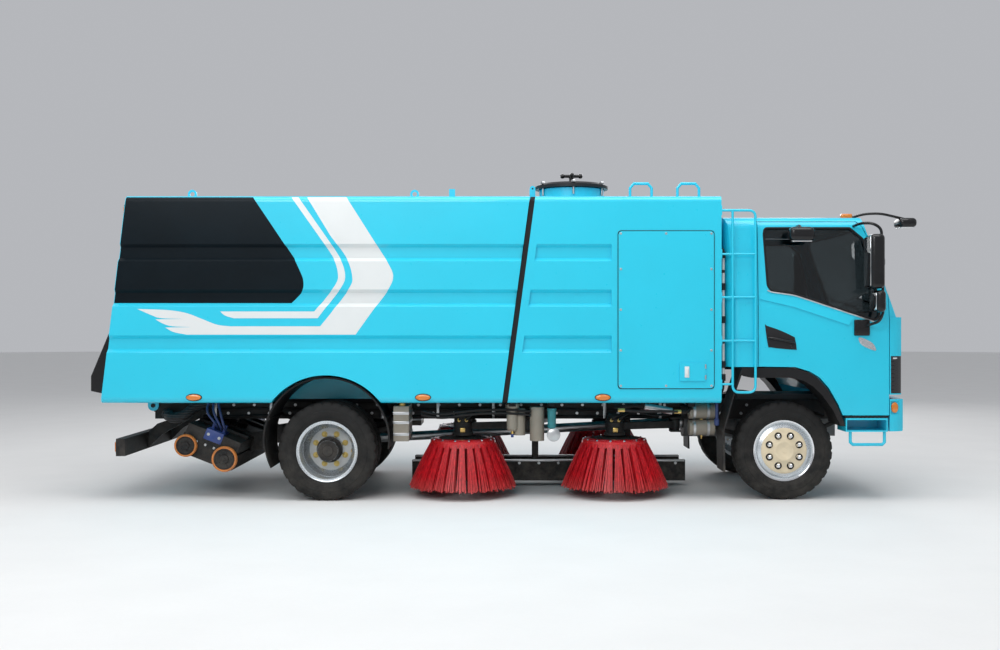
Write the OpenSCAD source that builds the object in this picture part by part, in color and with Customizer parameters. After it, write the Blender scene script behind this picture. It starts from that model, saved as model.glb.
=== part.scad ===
// Street sweeper truck: tipping waste tank, fixed water tank, tilting cab,
// four side brushes on swinging arms and a trailing suction nozzle.
// X runs forward, Y to the left, Z up. The origin is on the ground below the
// middle of the whole vehicle. Most modules are drawn from one of the axles.

/* [Overall] */
// Distance between the rear and the front axle
wheelbase = 3900; // [3800:10:4700]
// Rear axle to the rearmost point of the rear door
rear_overhang = 2000; // [1970:10:2300]
// Front axle to the front of the bumper
front_overhang = 1060; // [1055:5:1090]
// How far the look-down mirror reaches ahead of the bumper
mirror_reach = 70; // [40:5:120]
// Width of the two tanks
body_width = 2300; // [2260:10:2550]
// Height of the tanks' underside
floor_z = 835; // [830:5:880]
// Height of the tanks' roof
roof_z = 2585; // [2500:5:3000]
// Width of the cab without its mirrors
cab_width = 2220; // [2180:10:2240]
// Height of the cab roof
cab_top_z = 2415; // [2400:5:2600]

/* [Wheels] */
// Outside diameter of every road tyre
tyre_d = 839; // [800:1:845]
// Width of one road tyre
tyre_w = 245; // [215:1:255]
// Diameter of the rim where the tyre's bead sits
rim_d = 495; // [480:1:500]
// Width of the rim between its flanges
rim_w = 190; // [165:1:200]
// Distance between the middles of the front tyres
front_track = 1790; // [1740:10:1840]
// Distance between the middles of the outer rear tyres
rear_track = 1929; // [1880:1:1960]
// Distance between the middles of two twin tyres
twin_spacing = 280; // [270:1:300]
// Circle of the wheel studs
stud_circle_d = 275; // [245:1:285]
// Radius of a wheel stud hole
stud_hole_r = 11; // [8:0.5:13]
// Number of wheel studs
stud_count = 8; // [6:1:10]
// Distance from the middle of a front tyre in to its kingpin
kingpin_offset = 130; // [125:1:140]

/* [Tanks] */
// Thickness of the tanks' double-skinned walls
tank_wall = 60; // [50:1:80]
// Radius of the tanks' long roof edges
tank_edge_r = 50; // [30:1:49]
// Rear axle back to the waste tank's rear edge at the floor
tank_rear_low = 1897; // [1850:1:1930]
// Rear axle back to the waste tank's rear edge at the roof
tank_rear_high = 1685; // [1650:1:1800]
// Rear axle forward to the slanted joint at the floor
joint_low = 1488; // [1400:1:1550]
// Rear axle forward to the slanted joint at the roof
joint_high = 1724; // [1600:1:1800]
// Width of the slanted joint between the tanks
joint_gap = 46; // [40:1:60]
// Front axle back to the front of the water tank
tank_front_offset = 561; // [550:1:640]
// Depth of the pressed grooves in the tank sides
groove_depth = 28; // [10:1:35]
// Height of one pressed groove
groove_h = 145; // [100:1:160]
// Radius of the wheel arch cut in the waste tank
rear_arch_r = 580; // [570:1:620]
// Height of the middle of the wheel arch circle
rear_arch_z = 491; // [480:1:500]
// Radius of the water tank's filling hatch
hatch_r = 325; // [250:1:350]
// Height of the hatch's neck over the roof
hatch_neck_h = 115; // [60:1:150]

/* [Chassis] */
// Height of the frame rails' underside
rail_low_z = 650; // [640:1:680]
// Height of the frame rails' top
rail_top_z = 825; // [800:1:828]
// Centre line out to the outside of a frame rail
rail_outer_y = 450; // [430:1:480]
// Width of a frame rail's flanges
rail_flange = 70; // [60:1:80]
// Thickness of a frame rail's steel
rail_t = 8; // [6:1:12]
// Radius of the tipping pivot's pin
tip_pin_r = 20; // [15:1:25]

/* [Brushes] */
// Rear axle forward to the middle of the rear brushes
rear_brush_x = 1145; // [1130:5:1200]
// Rear axle forward to the middle of the front brushes
front_brush_x = 2479; // [2440:5:2500]
// Centre line out to the middle of a brush
brush_y = 700; // [690:5:705]
// Radius of the bristles at their tips
brush_tip_r = 446; // [380:1:450]
// Radius of a brush's plate
brush_plate_r = 284; // [250:1:300]
// Height of the raised bristle tips over the ground
brush_low_z = 68; // [40:1:90]
// Reach of a brush arm along the vehicle
arm_reach = 560; // [540:1:600]

/* [Clearances] */
// Gap round the cab doors and the rear door
door_gap = 6; // [5:0.5:10]
// Radial clearance of a turning shaft in its bore
shaft_clearance = 0.05; // [0.02:0.01:0.1]

/* [Hidden] */
$fn = 64;

// Places along the vehicle
vehicle_length = rear_overhang + wheelbase + front_overhang + mirror_reach;
rear_axle_x = rear_overhang - vehicle_length / 2;
front_axle_x = rear_axle_x + wheelbase;
tank_front = wheelbase - tank_front_offset;
half_body = body_width / 2;
half_cab = cab_width / 2;
wheel_z = tyre_d / 2;
front_wheel_y = front_track / 2;
rear_outer_y = rear_track / 2;
rear_inner_y = rear_outer_y - twin_spacing;
tank_height = roof_z - floor_z;
rail_inner_y = rail_outer_y - rail_flange;
rail_web_y = rail_outer_y - rail_t;

// Colours
sky = [0.20, 0.78, 0.88];
black = [0.08, 0.08, 0.09];
steel = [0.72, 0.73, 0.74];
red = [0.78, 0.06, 0.08];

// ---------- helpers ----------

module from_rear_axle() translate([rear_axle_x, 0, 0]) children();

module from_front_axle() translate([front_axle_x, 0, 0]) children();

// Draws for the left, or mirrored for the right when side is -1
module on_side(side) mirror([0, side < 0 ? 1 : 0, 0]) children();

module both_sides() {
    children();
    mirror([0, 1, 0]) children();
}

// A box between two limits on each axis
module span(x, y, z)
    translate([x[0], y[0], z[0]]) cube([x[1] - x[0], y[1] - y[0], z[1] - z[0]]);

// Extrudes a flat X-Z outline sideways from y0 to y1
module across(y0, y1)
    translate([0, y1, 0]) rotate([90, 0, 0]) linear_extrude(y1 - y0) children();

// Extrudes a flat Y-Z outline along the vehicle from x0 to x1
module along(x0, x1)
    translate([x0, 0, 0]) rotate([90, 0, 90]) linear_extrude(x1 - x0) children();

// A round bar across the vehicle
module cross_bar(x, z, r, y0, y1)
    translate([x, y1, z]) rotate([90, 0, 0]) cylinder(r = r, h = y1 - y0);

// A round bar from point a to point b
module bar(a, b, r) {
    d = b - a;
    l = norm(d);
    translate(a) rotate([0, acos(d[2] / l), atan2(d[1], d[0])]) cylinder(r = r, h = l);
}

// A bent tube through a list of points; each length runs a little past its corner,
// and every other length is a hair thinner so that no two skins coincide
module tube(points, r)
    for (i = [0 : len(points) - 2]) let (
        step = points[i + 1] - points[i],
        past = step / norm(step) * r * 0.3,
        last = len(points) - 2
    )
        bar(points[i] - (i > 0 ? past : [0, 0, 0]),
            points[i + 1] + (i < last ? past : [0, 0, 0]), r - (i % 2) * 0.6);

// A rectangle with round corners, about its middle
module round_rect(w, h, r) {
    square([w - 2 * r, h], center = true);
    square([w, h - 2 * r], center = true);
    for (sx = [-1, 1], sy = [-1, 1])
        translate([sx * (w / 2 - r), sy * (h / 2 - r)]) circle(r = r);
}

// ---------- tanks ----------

function joint_x(z) = joint_low + (joint_high - joint_low) * (z - floor_z) / tank_height;
function tank_rear_x(z) =
    -tank_rear_low + (tank_rear_low - tank_rear_high) * (z - floor_z) / tank_height;

groove_z = [1335, 1722, 2106];
suction_port_x = -1080;
suction_port_r = 110;
arch_inner_y = rear_inner_y - tyre_w / 2 - 22;
pivot_x = -1650;
pivot_z = 770;
lift_anchor = [150, 0, 790];
lift_foot = [-1150, 0, 700];
lift_y = 250;

module tank_section(inset)
    translate([0, (floor_z + roof_z) / 2])
        round_rect(body_width - 2 * inset, tank_height - 2 * inset, max(tank_edge_r - inset, 5));

// Side grooves: a trapezoid cut into both flanks between x0 and x1
module grooves(x0, x1)
    both_sides() for (z = groove_z) along(x0, x1)
        polygon([
            [half_body + 1, z - groove_h / 2 - 1], [half_body + 1, z + groove_h / 2 + 1],
            [half_body - groove_depth, z + groove_h / 2 - groove_depth],
            [half_body - groove_depth, z - groove_h / 2 + groove_depth]
        ]);

// Profile of the waste tank moved in by inset, with its rear end moved by rear
module waste_profile(inset, rear) polygon([
    [tank_rear_x(floor_z + inset) - rear, floor_z + inset],
    [joint_x(floor_z + inset) - inset, floor_z + inset],
    [joint_x(roof_z - inset) - inset, roof_z - inset],
    [tank_rear_x(roof_z - inset) - rear, roof_z - inset]
]);

module waste_solid(inset, rear)
    intersection() {
        across(-half_body, half_body) waste_profile(inset, rear);
        along(-3000, 3000) tank_section(inset);
    }

module rear_arches(grow)
    both_sides() cross_bar(0, rear_arch_z, rear_arch_r + grow, arch_inner_y - grow, half_body + 1);

module lifting_eye(x, y, z)
    translate([x, y + 9, z + 34]) rotate([90, 0, 0]) difference() {
        union() {
            cylinder(r = 38, h = 18);
            translate([-38, -36, 0]) cube([76, 36, 18]);
        }
        translate([0, 0, -1]) cylinder(r = 20, h = 20);
    }

module waste_tank() color(sky) from_rear_axle() {
    difference() {
        waste_solid(0, 0);
        difference() {
            waste_solid(tank_wall, 200);
            rear_arches(tank_wall);
        }
        rear_arches(0);
        grooves(-3000, 3000);
        translate([suction_port_x, 0, floor_z - 1])
            cylinder(r = suction_port_r, h = tank_wall + 2);
    }
    both_sides() {
        tip_lug();
        for (y = [lift_y - 55, lift_y + 40]) anchor_lug(y);
        lifting_eye(-1173, 950, roof_z);
        lifting_eye(738, 950, roof_z);
    }
    span([1037, 1088], [-1030, -1020], [roof_z, roof_z + 70]);
}

// Lug under the waste tank that turns on the chassis pivot pin
module tip_lug()
    difference() {
        union() {
            cross_bar(pivot_x, pivot_z, 48, rail_outer_y + 6, rail_outer_y + 26);
            span([pivot_x - 48, pivot_x + 48], [rail_outer_y + 6, rail_outer_y + 26],
                 [pivot_z, floor_z]);
        }
        cross_bar(pivot_x, pivot_z, tip_pin_r + shaft_clearance, rail_outer_y, rail_outer_y + 40);
    }

// Cheek beside the lift rod's eye
module anchor_lug(y)
    span([lift_anchor[0] - 45, lift_anchor[0] + 45], [y, y + 15],
         [lift_anchor[2] - 40, floor_z]);

module rear_door() color(black) from_rear_axle()
    difference() {
        union() {
            intersection() {
                across(-half_body, half_body) polygon([
                    [tank_rear_x(floor_z), floor_z],
                    [tank_rear_x(floor_z) + door_plate_t, floor_z],
                    [tank_rear_x(roof_z) + door_plate_t, roof_z],
                    [tank_rear_x(roof_z), roof_z]
                ]);
                along(-3000, 0) tank_section(tank_wall + door_gap);
            }
            across(door_gap + tank_wall - half_body, half_body - tank_wall - door_gap) polygon([
                [tank_rear_x(1506) + 1, 1506], [-rear_overhang, 1060], [-rear_overhang, 935],
                [tank_rear_x(910) + 1, 910]
            ]);
        }
        across(-700, 700) polygon([
            [tank_rear_x(1400) - 30, 1400], [-rear_overhang + 40, 1045],
            [-rear_overhang + 40, 955], [tank_rear_x(955) - 30, 955]
        ]);
    }
door_plate_t = 50;

module water_profile(inset) polygon([
    [joint_x(floor_z + inset) + joint_gap + inset, floor_z + inset],
    [tank_front - inset, floor_z + inset],
    [tank_front - inset, roof_z - inset],
    [joint_x(roof_z - inset) + joint_gap + inset, roof_z - inset]
]);

module water_solid(inset)
    intersection() {
        across(-half_body, half_body) water_profile(inset);
        along(0, 6000) tank_section(inset);
    }

hatch_x = 2112;
hatch_y = -500;
hatch_hinge_x = hatch_x - hatch_r - 25;
hatch_rim_z = roof_z + hatch_neck_h;
neck_r = hatch_r - 35;
neck_wall = 20;
short_groove_from = 66;
short_groove_to = 2412;
roof_loop_x = [2675, 3080];

module water_tank() color(sky) from_rear_axle() {
    difference() {
        union() {
            difference() {
                water_solid(0);
                water_solid(tank_wall);
                intersection() {
                    grooves(0, short_groove_to);
                    across(-half_body - 1, half_body + 1) polygon([
                        [joint_x(floor_z) + joint_gap + short_groove_from, floor_z],
                        [short_groove_to, floor_z], [short_groove_to, roof_z],
                        [joint_x(roof_z) + joint_gap + short_groove_from, roof_z]
                    ]);
                }
            }
            translate([hatch_x, hatch_y, roof_z - tank_wall])
                cylinder(r = neck_r, h = tank_wall + hatch_neck_h);
        }
        translate([hatch_x, hatch_y, roof_z - tank_wall - 1])
            cylinder(r = neck_r - neck_wall, h = tank_wall + hatch_neck_h + 2);
    }
    both_sides() for (x = roof_loop_x)
        tube([
            [x - 92, 1010, roof_z - 5], [x - 92, 1010, roof_z + 80], [x - 60, 1010, roof_z + 118],
            [x + 60, 1010, roof_z + 118], [x + 92, 1010, roof_z + 80], [x + 92, 1010, roof_z - 5]
        ], 12);
    hatch_hinge_post();
}

// Post on the roof that carries the hatch's hinge pin
module hatch_hinge_post()
    for (y = [-60, 40])
        translate([0, hatch_y, 0]) difference() {
            union() {
                span([hatch_hinge_x - 25, hatch_hinge_x + 25], [y, y + 20],
                     [roof_z - 1, hatch_rim_z + 12]);
                cross_bar(hatch_hinge_x, hatch_rim_z + 12, 25, y, y + 20);
            }
            cross_bar(hatch_hinge_x, hatch_rim_z + 12, 8 + shaft_clearance, y - 1, y + 21);
        }

module hatch_lid() color(black) from_rear_axle() translate([0, hatch_y, 0]) {
    translate([hatch_x, 0, hatch_rim_z + 6]) rotate_extrude() polygon([
        [0, 0], [hatch_r, 0], [hatch_r, 26], [hatch_r - 40, 46], [120, 66], [0, 70]
    ]);
    translate([hatch_x, 0, hatch_rim_z + 70]) cylinder(r = 20, h = 60);
    cross_bar(hatch_x, hatch_rim_z + 130, 14, -80, 80);
    bar([hatch_x, 0, hatch_rim_z + 130], [hatch_x + 80, 0, hatch_rim_z + 130], 14);
    bar([hatch_x, 0, hatch_rim_z + 130], [hatch_x - 80, 0, hatch_rim_z + 130], 14);
    span([hatch_hinge_x, hatch_x - hatch_r + 20], [-30, 30], [hatch_rim_z + 8, hatch_rim_z + 18]);
    cross_bar(hatch_hinge_x, hatch_rim_z + 12, 8, -60, 60);
    cross_bar(hatch_hinge_x, hatch_rim_z + 12, 16, -30, 30);
}

module access_panels() color(sky) from_rear_axle()
    both_sides() {
        across(half_body, half_body + 8) translate([tank_front - 468, 1624])
            round_rect(804, 1324, 30);
        across(half_body + 8, half_body + 20) translate([tank_front - 246, 1101])
            round_rect(220, 154, 12);
    }

// Soft frame that closes the slanted joint against the waste tank
module tank_seal() color(black) from_rear_axle()
    intersection() {
        across(-half_body, half_body) polygon([
            [joint_x(floor_z) + door_gap, floor_z], [joint_x(floor_z) + joint_gap, floor_z],
            [joint_x(roof_z) + joint_gap, roof_z], [joint_x(roof_z) + door_gap, roof_z]
        ]);
        along(0, 3000) difference() {
            tank_section(4);
            tank_section(tank_wall);
        }
    }

ladder_y = 1137;
ladder_tube_r = 11;
rung_r = 9;
ladder_rear = -465;
ladder_front = -272;
rung_z = [1362, 1730, 2094];

module ladder() color(sky) from_front_axle() mirror([0, 1, 0]) {
    tube([
        [-tank_front_offset, ladder_y, 2463], [ladder_front - 58, ladder_y, 2463],
        [ladder_front, ladder_y, 2405], [ladder_front, ladder_y, 985],
        [ladder_front - 58, ladder_y, 926], [ladder_rear + 58, ladder_y, 926],
        [ladder_rear, ladder_y, 985], [ladder_rear, ladder_y, 2463]
    ], ladder_tube_r);
    for (z = rung_z)
        bar([-tank_front_offset, ladder_y, z], [ladder_front, ladder_y, z], rung_r);
    bar([-tank_front_offset, ladder_y, 995], [ladder_rear, ladder_y, 995], rung_r);
}

// ---------- chassis ----------

rail_front = wheelbase + 750;
cross_member_x = [450, 1100, 1800, 2650, 3080];
brush_pivot_y = 520;
brush_pin_r = 20;
nozzle_hinge = [-250, 0, 560];
nozzle_hinge_r = 20;
cab_pivot = [1025, 0, 885];
cab_pivot_r = 12;

// One frame rail, a channel open towards the middle
module frame_rail()
    difference() {
        span([pivot_x, rail_front], [rail_inner_y, rail_outer_y], [rail_low_z, rail_top_z]);
        span([pivot_x - 60, rail_front + 1], [rail_inner_y - 1, rail_web_y],
             [rail_low_z + rail_t, rail_top_z - rail_t]);
        difference() {
            span([pivot_x - 60, pivot_x + 60], [rail_inner_y - 2, rail_outer_y + 1],
                 [rail_low_z - 1, rail_top_z + 1]);
            cross_bar(pivot_x + 10, pivot_z - 5, 52, rail_inner_y - 3, rail_outer_y + 2);
            span([pivot_x + 10, pivot_x + 70], [rail_inner_y - 3, rail_outer_y + 2],
                 [rail_low_z - 2, rail_top_z - 12]);
        }
    }

module chassis_frame() color(black) {
    from_rear_axle() {
        both_sides() {
            frame_rail();
            cross_bar(pivot_x, pivot_z, tip_pin_r, rail_web_y - 2, rail_outer_y + 32);
            cross_bar(lift_foot[0], lift_foot[2], 18, lift_y - 36, rail_web_y + 2);
            cross_bar(nozzle_hinge[0], nozzle_hinge[2], nozzle_hinge_r, 0, rail_inner_y);
            span([nozzle_hinge[0] - 40, nozzle_hinge[0] + 40], [rail_inner_y - 15, rail_inner_y],
                 [nozzle_hinge[2] - 30, rail_top_z - 20]);
            // pads that carry the water tank
            span([joint_high + 120, tank_front - 60], [rail_inner_y + 10, rail_outer_y - 10],
                 [rail_top_z - 1, floor_z]);
        }
        for (x = concat(cross_member_x, [wheelbase + 700]))
            span([x - 30, x + 30], [-rail_web_y - 1, rail_web_y + 1],
                 [rail_low_z + 20, rail_top_z - 25]);
        span([-1560, -1500], [-rail_web_y - 1, rail_web_y + 1], [rail_low_z + 20, rail_top_z - 25]);
    }
    from_front_axle() {
        both_sides() difference() {
            across(rail_outer_y - 2, rail_outer_y + 10) polygon([
                [600, rail_low_z + 20], [962, 818], [970, 870], [cab_pivot[0] + 14, 870],
                [cab_pivot[0] + 14, 890], [cab_pivot[0] - 12, 896], [750, 850], [600, rail_top_z]
            ]);
            cross_bar(cab_pivot[0], cab_pivot[2], 8, rail_outer_y - 3, rail_outer_y + 11);
        }
        cross_bar(cab_pivot[0], cab_pivot[2], cab_pivot_r, -rail_outer_y + 2, rail_outer_y - 2);
    }
}

module front_axle() color(black) from_front_axle()
    difference() {
        union() {
            span([-45, 45], [-kingpin_y + 30, kingpin_y - 30], [wheel_z - 42, wheel_z + 40]);
            both_sides() translate([0, kingpin_y, wheel_z - 45]) cylinder(r = 38, h = 90);
        }
        both_sides() translate([0, kingpin_y, wheel_z - 50])
            cylinder(r = kingpin_r + shaft_clearance, h = 100);
    }
kingpin_y = front_wheel_y - kingpin_offset;
kingpin_r = 22;
front_spindle_r = 35;
rear_spindle_r = 45;

module knuckle(side) color(steel) from_front_axle() on_side(side) {
    translate([0, kingpin_y, wheel_z - 100]) cylinder(r = kingpin_r, h = 200);
    for (z = [wheel_z - 100, wheel_z + 51])
        span([-40, 40], [kingpin_y - 38, kingpin_y + 64], [z, z + 49]);
    span([-40, 40], [kingpin_y + 44, kingpin_y + 64], [wheel_z - 100, wheel_z + 100]);
    cross_bar(0, wheel_z, front_spindle_r, kingpin_y + 60, front_wheel_y + 75);
}
module knuckle_right() knuckle(-1);
module knuckle_left() knuckle(1);

module rear_axle() color(black) from_rear_axle() {
    cross_bar(0, wheel_z, 60, -(arch_inner_y - 10), arch_inner_y - 10);
    translate([0, 0, wheel_z]) sphere(r = 165);
    both_sides() cross_bar(0, wheel_z, rear_spindle_r, arch_inner_y - 12, rear_outer_y + 15);
    translate([150, 0, wheel_z + 10]) rotate([0, 90, 0]) cylinder(r = 70, h = 60);
}

// A leaf spring pack: bent upwards from its seat to both eyes
module leaf_pack(half_length, seat_z)
    across(rail_inner_y + 3, rail_outer_y - 3) polygon(concat(
        [for (i = [-8 : 8]) let (s = i / 8)
            [s * half_length, seat_z + (rail_low_z - 45 - seat_z) * s * s]],
        [for (i = [8 : -1 : -8]) let (s = i / 8)
            [s * half_length, seat_z + 60 - 35 * abs(s) + (rail_low_z - 45 - seat_z) * s * s]]
    ));

module leaf_springs() color(black) {
    from_front_axle() both_sides() {
        leaf_pack(600, wheel_z + 40);
        for (x = [-590, 550])
            span([x, x + 40], [rail_inner_y + 3, rail_outer_y - 3], [rail_low_z - 30, rail_low_z]);
    }
    from_rear_axle() both_sides() {
        leaf_pack(650, wheel_z + 61);
        for (x = [-640, 600])
            span([x, x + 40], [rail_inner_y + 3, rail_outer_y - 3], [rail_low_z - 30, rail_low_z]);
    }
}

module engine() color([0.35, 0.36, 0.38]) from_front_axle() {
    span([-250, 640], [-280, 280], [wheel_z + 60, 860]);
    both_sides() span([-60, 60], [279, rail_web_y], [700, 730]);
    translate([-720, 0, 590]) rotate([0, 90, 0]) cylinder(r = 140, h = 480);
}

module propshaft() color(steel) {
    gearbox_end = [front_axle_x - 723, 0, 590];
    axle_end = [rear_axle_x + 213, 0, wheel_z + 10];
    bar(axle_end, gearbox_end, 42);
    translate([axle_end[0], 0, axle_end[2]]) rotate([0, 90, 0]) cylinder(r = 62, h = 24);
    translate([gearbox_end[0] - 24, 0, gearbox_end[2]]) rotate([0, 90, 0])
        cylinder(r = 62, h = 24);
}

// ---------- wheels ----------

rim_r = rim_d / 2;
flange_r = rim_r + 13;
hub_r = 88;

// Half outline of a tyre, turned about the axle
module tyre() rotate_extrude($fn = 128) translate([0, 0]) {
    shoulder = 42;
    polygon([
        [rim_r, -rim_w / 2 + 0.5], [rim_r + 15, -rim_w / 2 + 0.5], [rim_r + 82, -tyre_w / 2],
        [tyre_d / 2 - shoulder, -tyre_w / 2], [tyre_d / 2 - shoulder, tyre_w / 2],
        [rim_r + 82, tyre_w / 2], [rim_r + 15, rim_w / 2 - 0.5], [rim_r, rim_w / 2 - 0.5]
    ]);
    for (y = [-1, 1])
        translate([tyre_d / 2 - shoulder, y * (tyre_w / 2 - shoulder)]) circle(r = shoulder);
    translate([tyre_d / 2 - shoulder - 1, -tyre_w / 2 + shoulder])
        square([shoulder + 1, tyre_w - 2 * shoulder]);
}

// Rim ring with its flanges, turned about the axle
module rim_ring_outline() {
    translate([rim_r - 12, -rim_w / 2]) square([12, rim_w]);
    for (y = [-rim_w / 2 - 8, rim_w / 2]) translate([rim_r - 12, y]) square([flange_r - rim_r + 12, 8]);
}

module at_wheel(y) translate([0, y, wheel_z]) rotate([-90, 0, 0]) children();

module stud_holes(z, h)
    for (i = [0 : stud_count - 1]) rotate([0, 0, i * 360 / stud_count])
        translate([stud_circle_d / 2, 0, z]) cylinder(r = stud_hole_r, h = h);

front_disc_out = 112;

module front_rim(side) color([0.88, 0.86, 0.78]) from_front_axle() on_side(side)
    at_wheel(front_wheel_y) difference() {
        union() {
            rotate_extrude($fn = 96) {
                rim_ring_outline();
                polygon([
                    [hub_r, front_disc_out - 14], [175, front_disc_out - 14],
                    [rim_r - 12, rim_w / 2 - 25], [rim_r - 11, rim_w / 2 - 8],
                    [rim_r - 14, rim_w / 2 - 8], [180, front_disc_out], [hub_r, front_disc_out]
                ]);
            }
            translate([0, 0, -30]) cylinder(r = hub_r, h = front_disc_out + 30);
            translate([0, 0, front_disc_out - 1]) cylinder(r = 78, h = 13);
        }
        translate([0, 0, -31]) cylinder(r = front_spindle_r + shaft_clearance, h = 111);
        stud_holes(front_disc_out - 20, 30);
    }
module front_rim_right() front_rim(-1);
module front_rim_left() front_rim(1);

module front_tyre(side) color(black) from_front_axle() on_side(side)
    at_wheel(front_wheel_y) tyre();
module front_tyre_right() front_tyre(-1);
module front_tyre_left() front_tyre(1);

// Twin rims: both discs meet on one plane between the tyres
module rear_rims(side) color(steel) from_rear_axle() on_side(side)
    at_wheel(rear_outer_y) difference() {
        mid = -twin_spacing / 2;
        union() {
            rotate_extrude($fn = 96) {
                rim_ring_outline();
                translate([0, -twin_spacing]) rim_ring_outline();
                for (s = [-1, 1]) polygon([
                    [hub_r - 3, mid - s * 3], [185, mid - s * 3],
                    [rim_r - 2, mid + s * (twin_spacing / 2 - rim_w / 2 + 1)],
                    [rim_r - 2, mid + s * (twin_spacing / 2 - rim_w / 2 + 14)],
                    [rim_r - 14, mid + s * (twin_spacing / 2 - rim_w / 2 + 14)],
                    [180, mid + s * 14], [hub_r - 3, mid + s * 14]
                ]);
            }
            translate([0, 0, -twin_spacing - 60]) cylinder(r = hub_r, h = twin_spacing + 120);
            translate([0, 0, mid]) cylinder(r = hub_r + 24, h = 70);
        }
        translate([0, 0, -twin_spacing - 61])
            cylinder(r = rear_spindle_r + shaft_clearance, h = twin_spacing + 82);
        stud_holes(mid - 20, 100);
    }
module rear_rims_right() rear_rims(-1);
module rear_rims_left() rear_rims(1);

module rear_tyres(side) color(black) from_rear_axle() on_side(side)
    for (y = [rear_outer_y, rear_inner_y]) at_wheel(y) tyre();
module rear_tyres_right() rear_tyres(-1);
module rear_tyres_left() rear_tyres(1);

// ---------- mudguards, bumper and steps ----------

// Front arch line, from behind the wheel round to its lower front end
arch_line = [
    [-379, 1135], [63, 1130], [186, 1093], [268, 1042], [348, 951], [427, 813], [480, 686]
];
rear_guard_r = 530;
rear_guard_z = 517;

module mudguards() color(black) {
    from_front_axle() both_sides() {
        across(790, half_cab - 5) difference() {
            polygon(concat(arch_line, [
                [495, 640], [455, 640], [395, 770], [306, 894], [223, 975], [145, 1022],
                [46, 1048], [-300, 1048], [-379, 1080], [-442, 898], [-526, 601], [-520, 250],
                [-534, 250], [-540, 601], [-456, 900]
            ]));
        }
        span([-520, -500], [rail_outer_y, 800], [690, 710]);
        span([400, 420], [rail_outer_y, 792], [690, 710]);
        span([400, 420], [790, 810], [690, 790]);
    }
    from_rear_axle() both_sides() {
        across(arch_inner_y + 4, half_body - 50) difference() {
            translate([0, rear_guard_z]) circle(r = rear_guard_r, $fn = 128);
            translate([0, rear_guard_z]) circle(r = rear_guard_r - 7, $fn = 128);
            polygon([
                [0, rear_guard_z], [-700, rear_guard_z - 350], [-700, -100],
                [700, -100], [700, rear_guard_z - 100]
            ]);
        }
        for (x = [-1, 1]) cross_bar(x * 494, 700, 14, rail_outer_y, half_body - 52);
    }
}

// Radius of the slight forward bow of cab and bumper
crown_r = 9022;

// Plan of the cab or bumper from x0 to x1, moved in by inset
module plan_outline(inset, x0, x1, front_r, rear_r)
    intersection() {
        translate([x1 - inset - crown_r, 0]) circle(r = crown_r, $fn = 1440);
        union() {
            translate([x0 + inset + rear_r, -half_cab + inset])
                square([x1 - x0 - 2 * inset - rear_r - front_r, cab_width - 2 * inset]);
            translate([x0 + inset, -half_cab + inset + rear_r])
                square([x1 - x0 - 2 * inset, cab_width - 2 * inset - 2 * rear_r]);
            for (s = [-1, 1]) {
                translate([x0 + inset + rear_r, s * (half_cab - inset - rear_r)])
                    circle(r = rear_r, $fn = 256);
                translate([x1 - inset - front_r, s * (half_cab - inset - front_r)])
                    circle(r = front_r, $fn = 256);
            }
            translate([x1 - inset - front_r - 1, -half_cab + inset + front_r])
                square([front_r + 1, cab_width - 2 * inset - 2 * front_r]);
        }
    }

bumper_low_z = 594;
bumper_top_z = 866;

module bumper() color(sky) from_front_axle() {
    difference() {
        intersection() {
            translate([0, 0, bumper_low_z]) linear_extrude(bumper_top_z - bumper_low_z)
                plan_outline(0, 0, front_overhang, 190, 50);
            across(-half_cab, half_cab) polygon([
                [872, bumper_low_z], [front_overhang - 70, bumper_low_z],
                [front_overhang - 14, 650], [front_overhang, 738], [front_overhang, 850],
                [front_overhang - 14, bumper_top_z], [872, bumper_top_z]
            ]);
        }
        translate([0, 0, bumper_low_z - 1]) linear_extrude(bumper_top_z)
            plan_outline(70, 0, front_overhang, 130, 50);
        both_sides() span([880, 955], [half_cab - 25, half_cab + 1], [738, 850]);
    }
    both_sides() span([750, front_overhang - 80], [rail_inner_y, rail_inner_y + 30],
                      [rail_low_z + 10, rail_low_z + 110]);
}

module steps() color(sky) from_front_axle()
    both_sides() {
        difference() {
            span([500, 855], [half_cab - 260, half_cab - 4], [590, 706]);
            span([510, 845], [half_cab - 250, half_cab + 1], [602, 690]);
        }
        tube([
            [545, half_cab - 30, 600], [545, half_cab - 30, 500], [565, half_cab - 30, 480],
            [815, half_cab - 30, 480], [835, half_cab - 30, 500], [835, half_cab - 30, 600]
        ], 13);
        span([640, 700], [rail_outer_y, half_cab - 255], [655, 684]);
    }

module underrun_bar() color(black) from_rear_axle() {
    span([-1800, -1722], [-1050, 1050], [378, 526]);
    both_sides() {
        across(rail_inner_y - 30, rail_inner_y) polygon([
            [-1722, 378], [-1722, 526], [-1640, 600], [-1480, 655], [-1350, 800], [-1250, 800],
            [-1250, 700], [-1600, 500]
        ]);
    }
}

module centre_skirt() color(black) from_rear_axle()
    both_sides() {
        span([660, 3180], [190, 202], [60, 250]);
        for (x = [1100, 1800, 2650])
            span([x - 25, x + 25], [178, 190.5], [200, rail_low_z + 20]);
    }

// Oil tank, air tanks, filter and pump hung below the frame
module underfloor_units() color([0.55, 0.52, 0.46]) from_rear_axle() {
    both_sides() {
        span([560, 690], [600, 1010], [500, 800]);
        span([610, 650], [rail_outer_y, 601], [680, 720]);
        for (z = [600, 745]) translate([3120, 780, z]) rotate([0, 90, 0]) cylinder(r = 68, h = 220);
        span([3200, 3230], [rail_outer_y, 713], [690, 720]);
        span([3200, 3230], [700, 712], [560, 790]);
    }
    mirror([0, 1, 0]) {
        translate([1640, 900, 545]) cylinder(r = 50, h = 230);
        span([1625, 1655], [rail_outer_y, 851], [720, 740]);
        translate([1790, 930, 500]) cylinder(r = 62, h = 290);
        span([1775, 1805], [rail_outer_y, 869], [690, 720]);
    }
}

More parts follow.
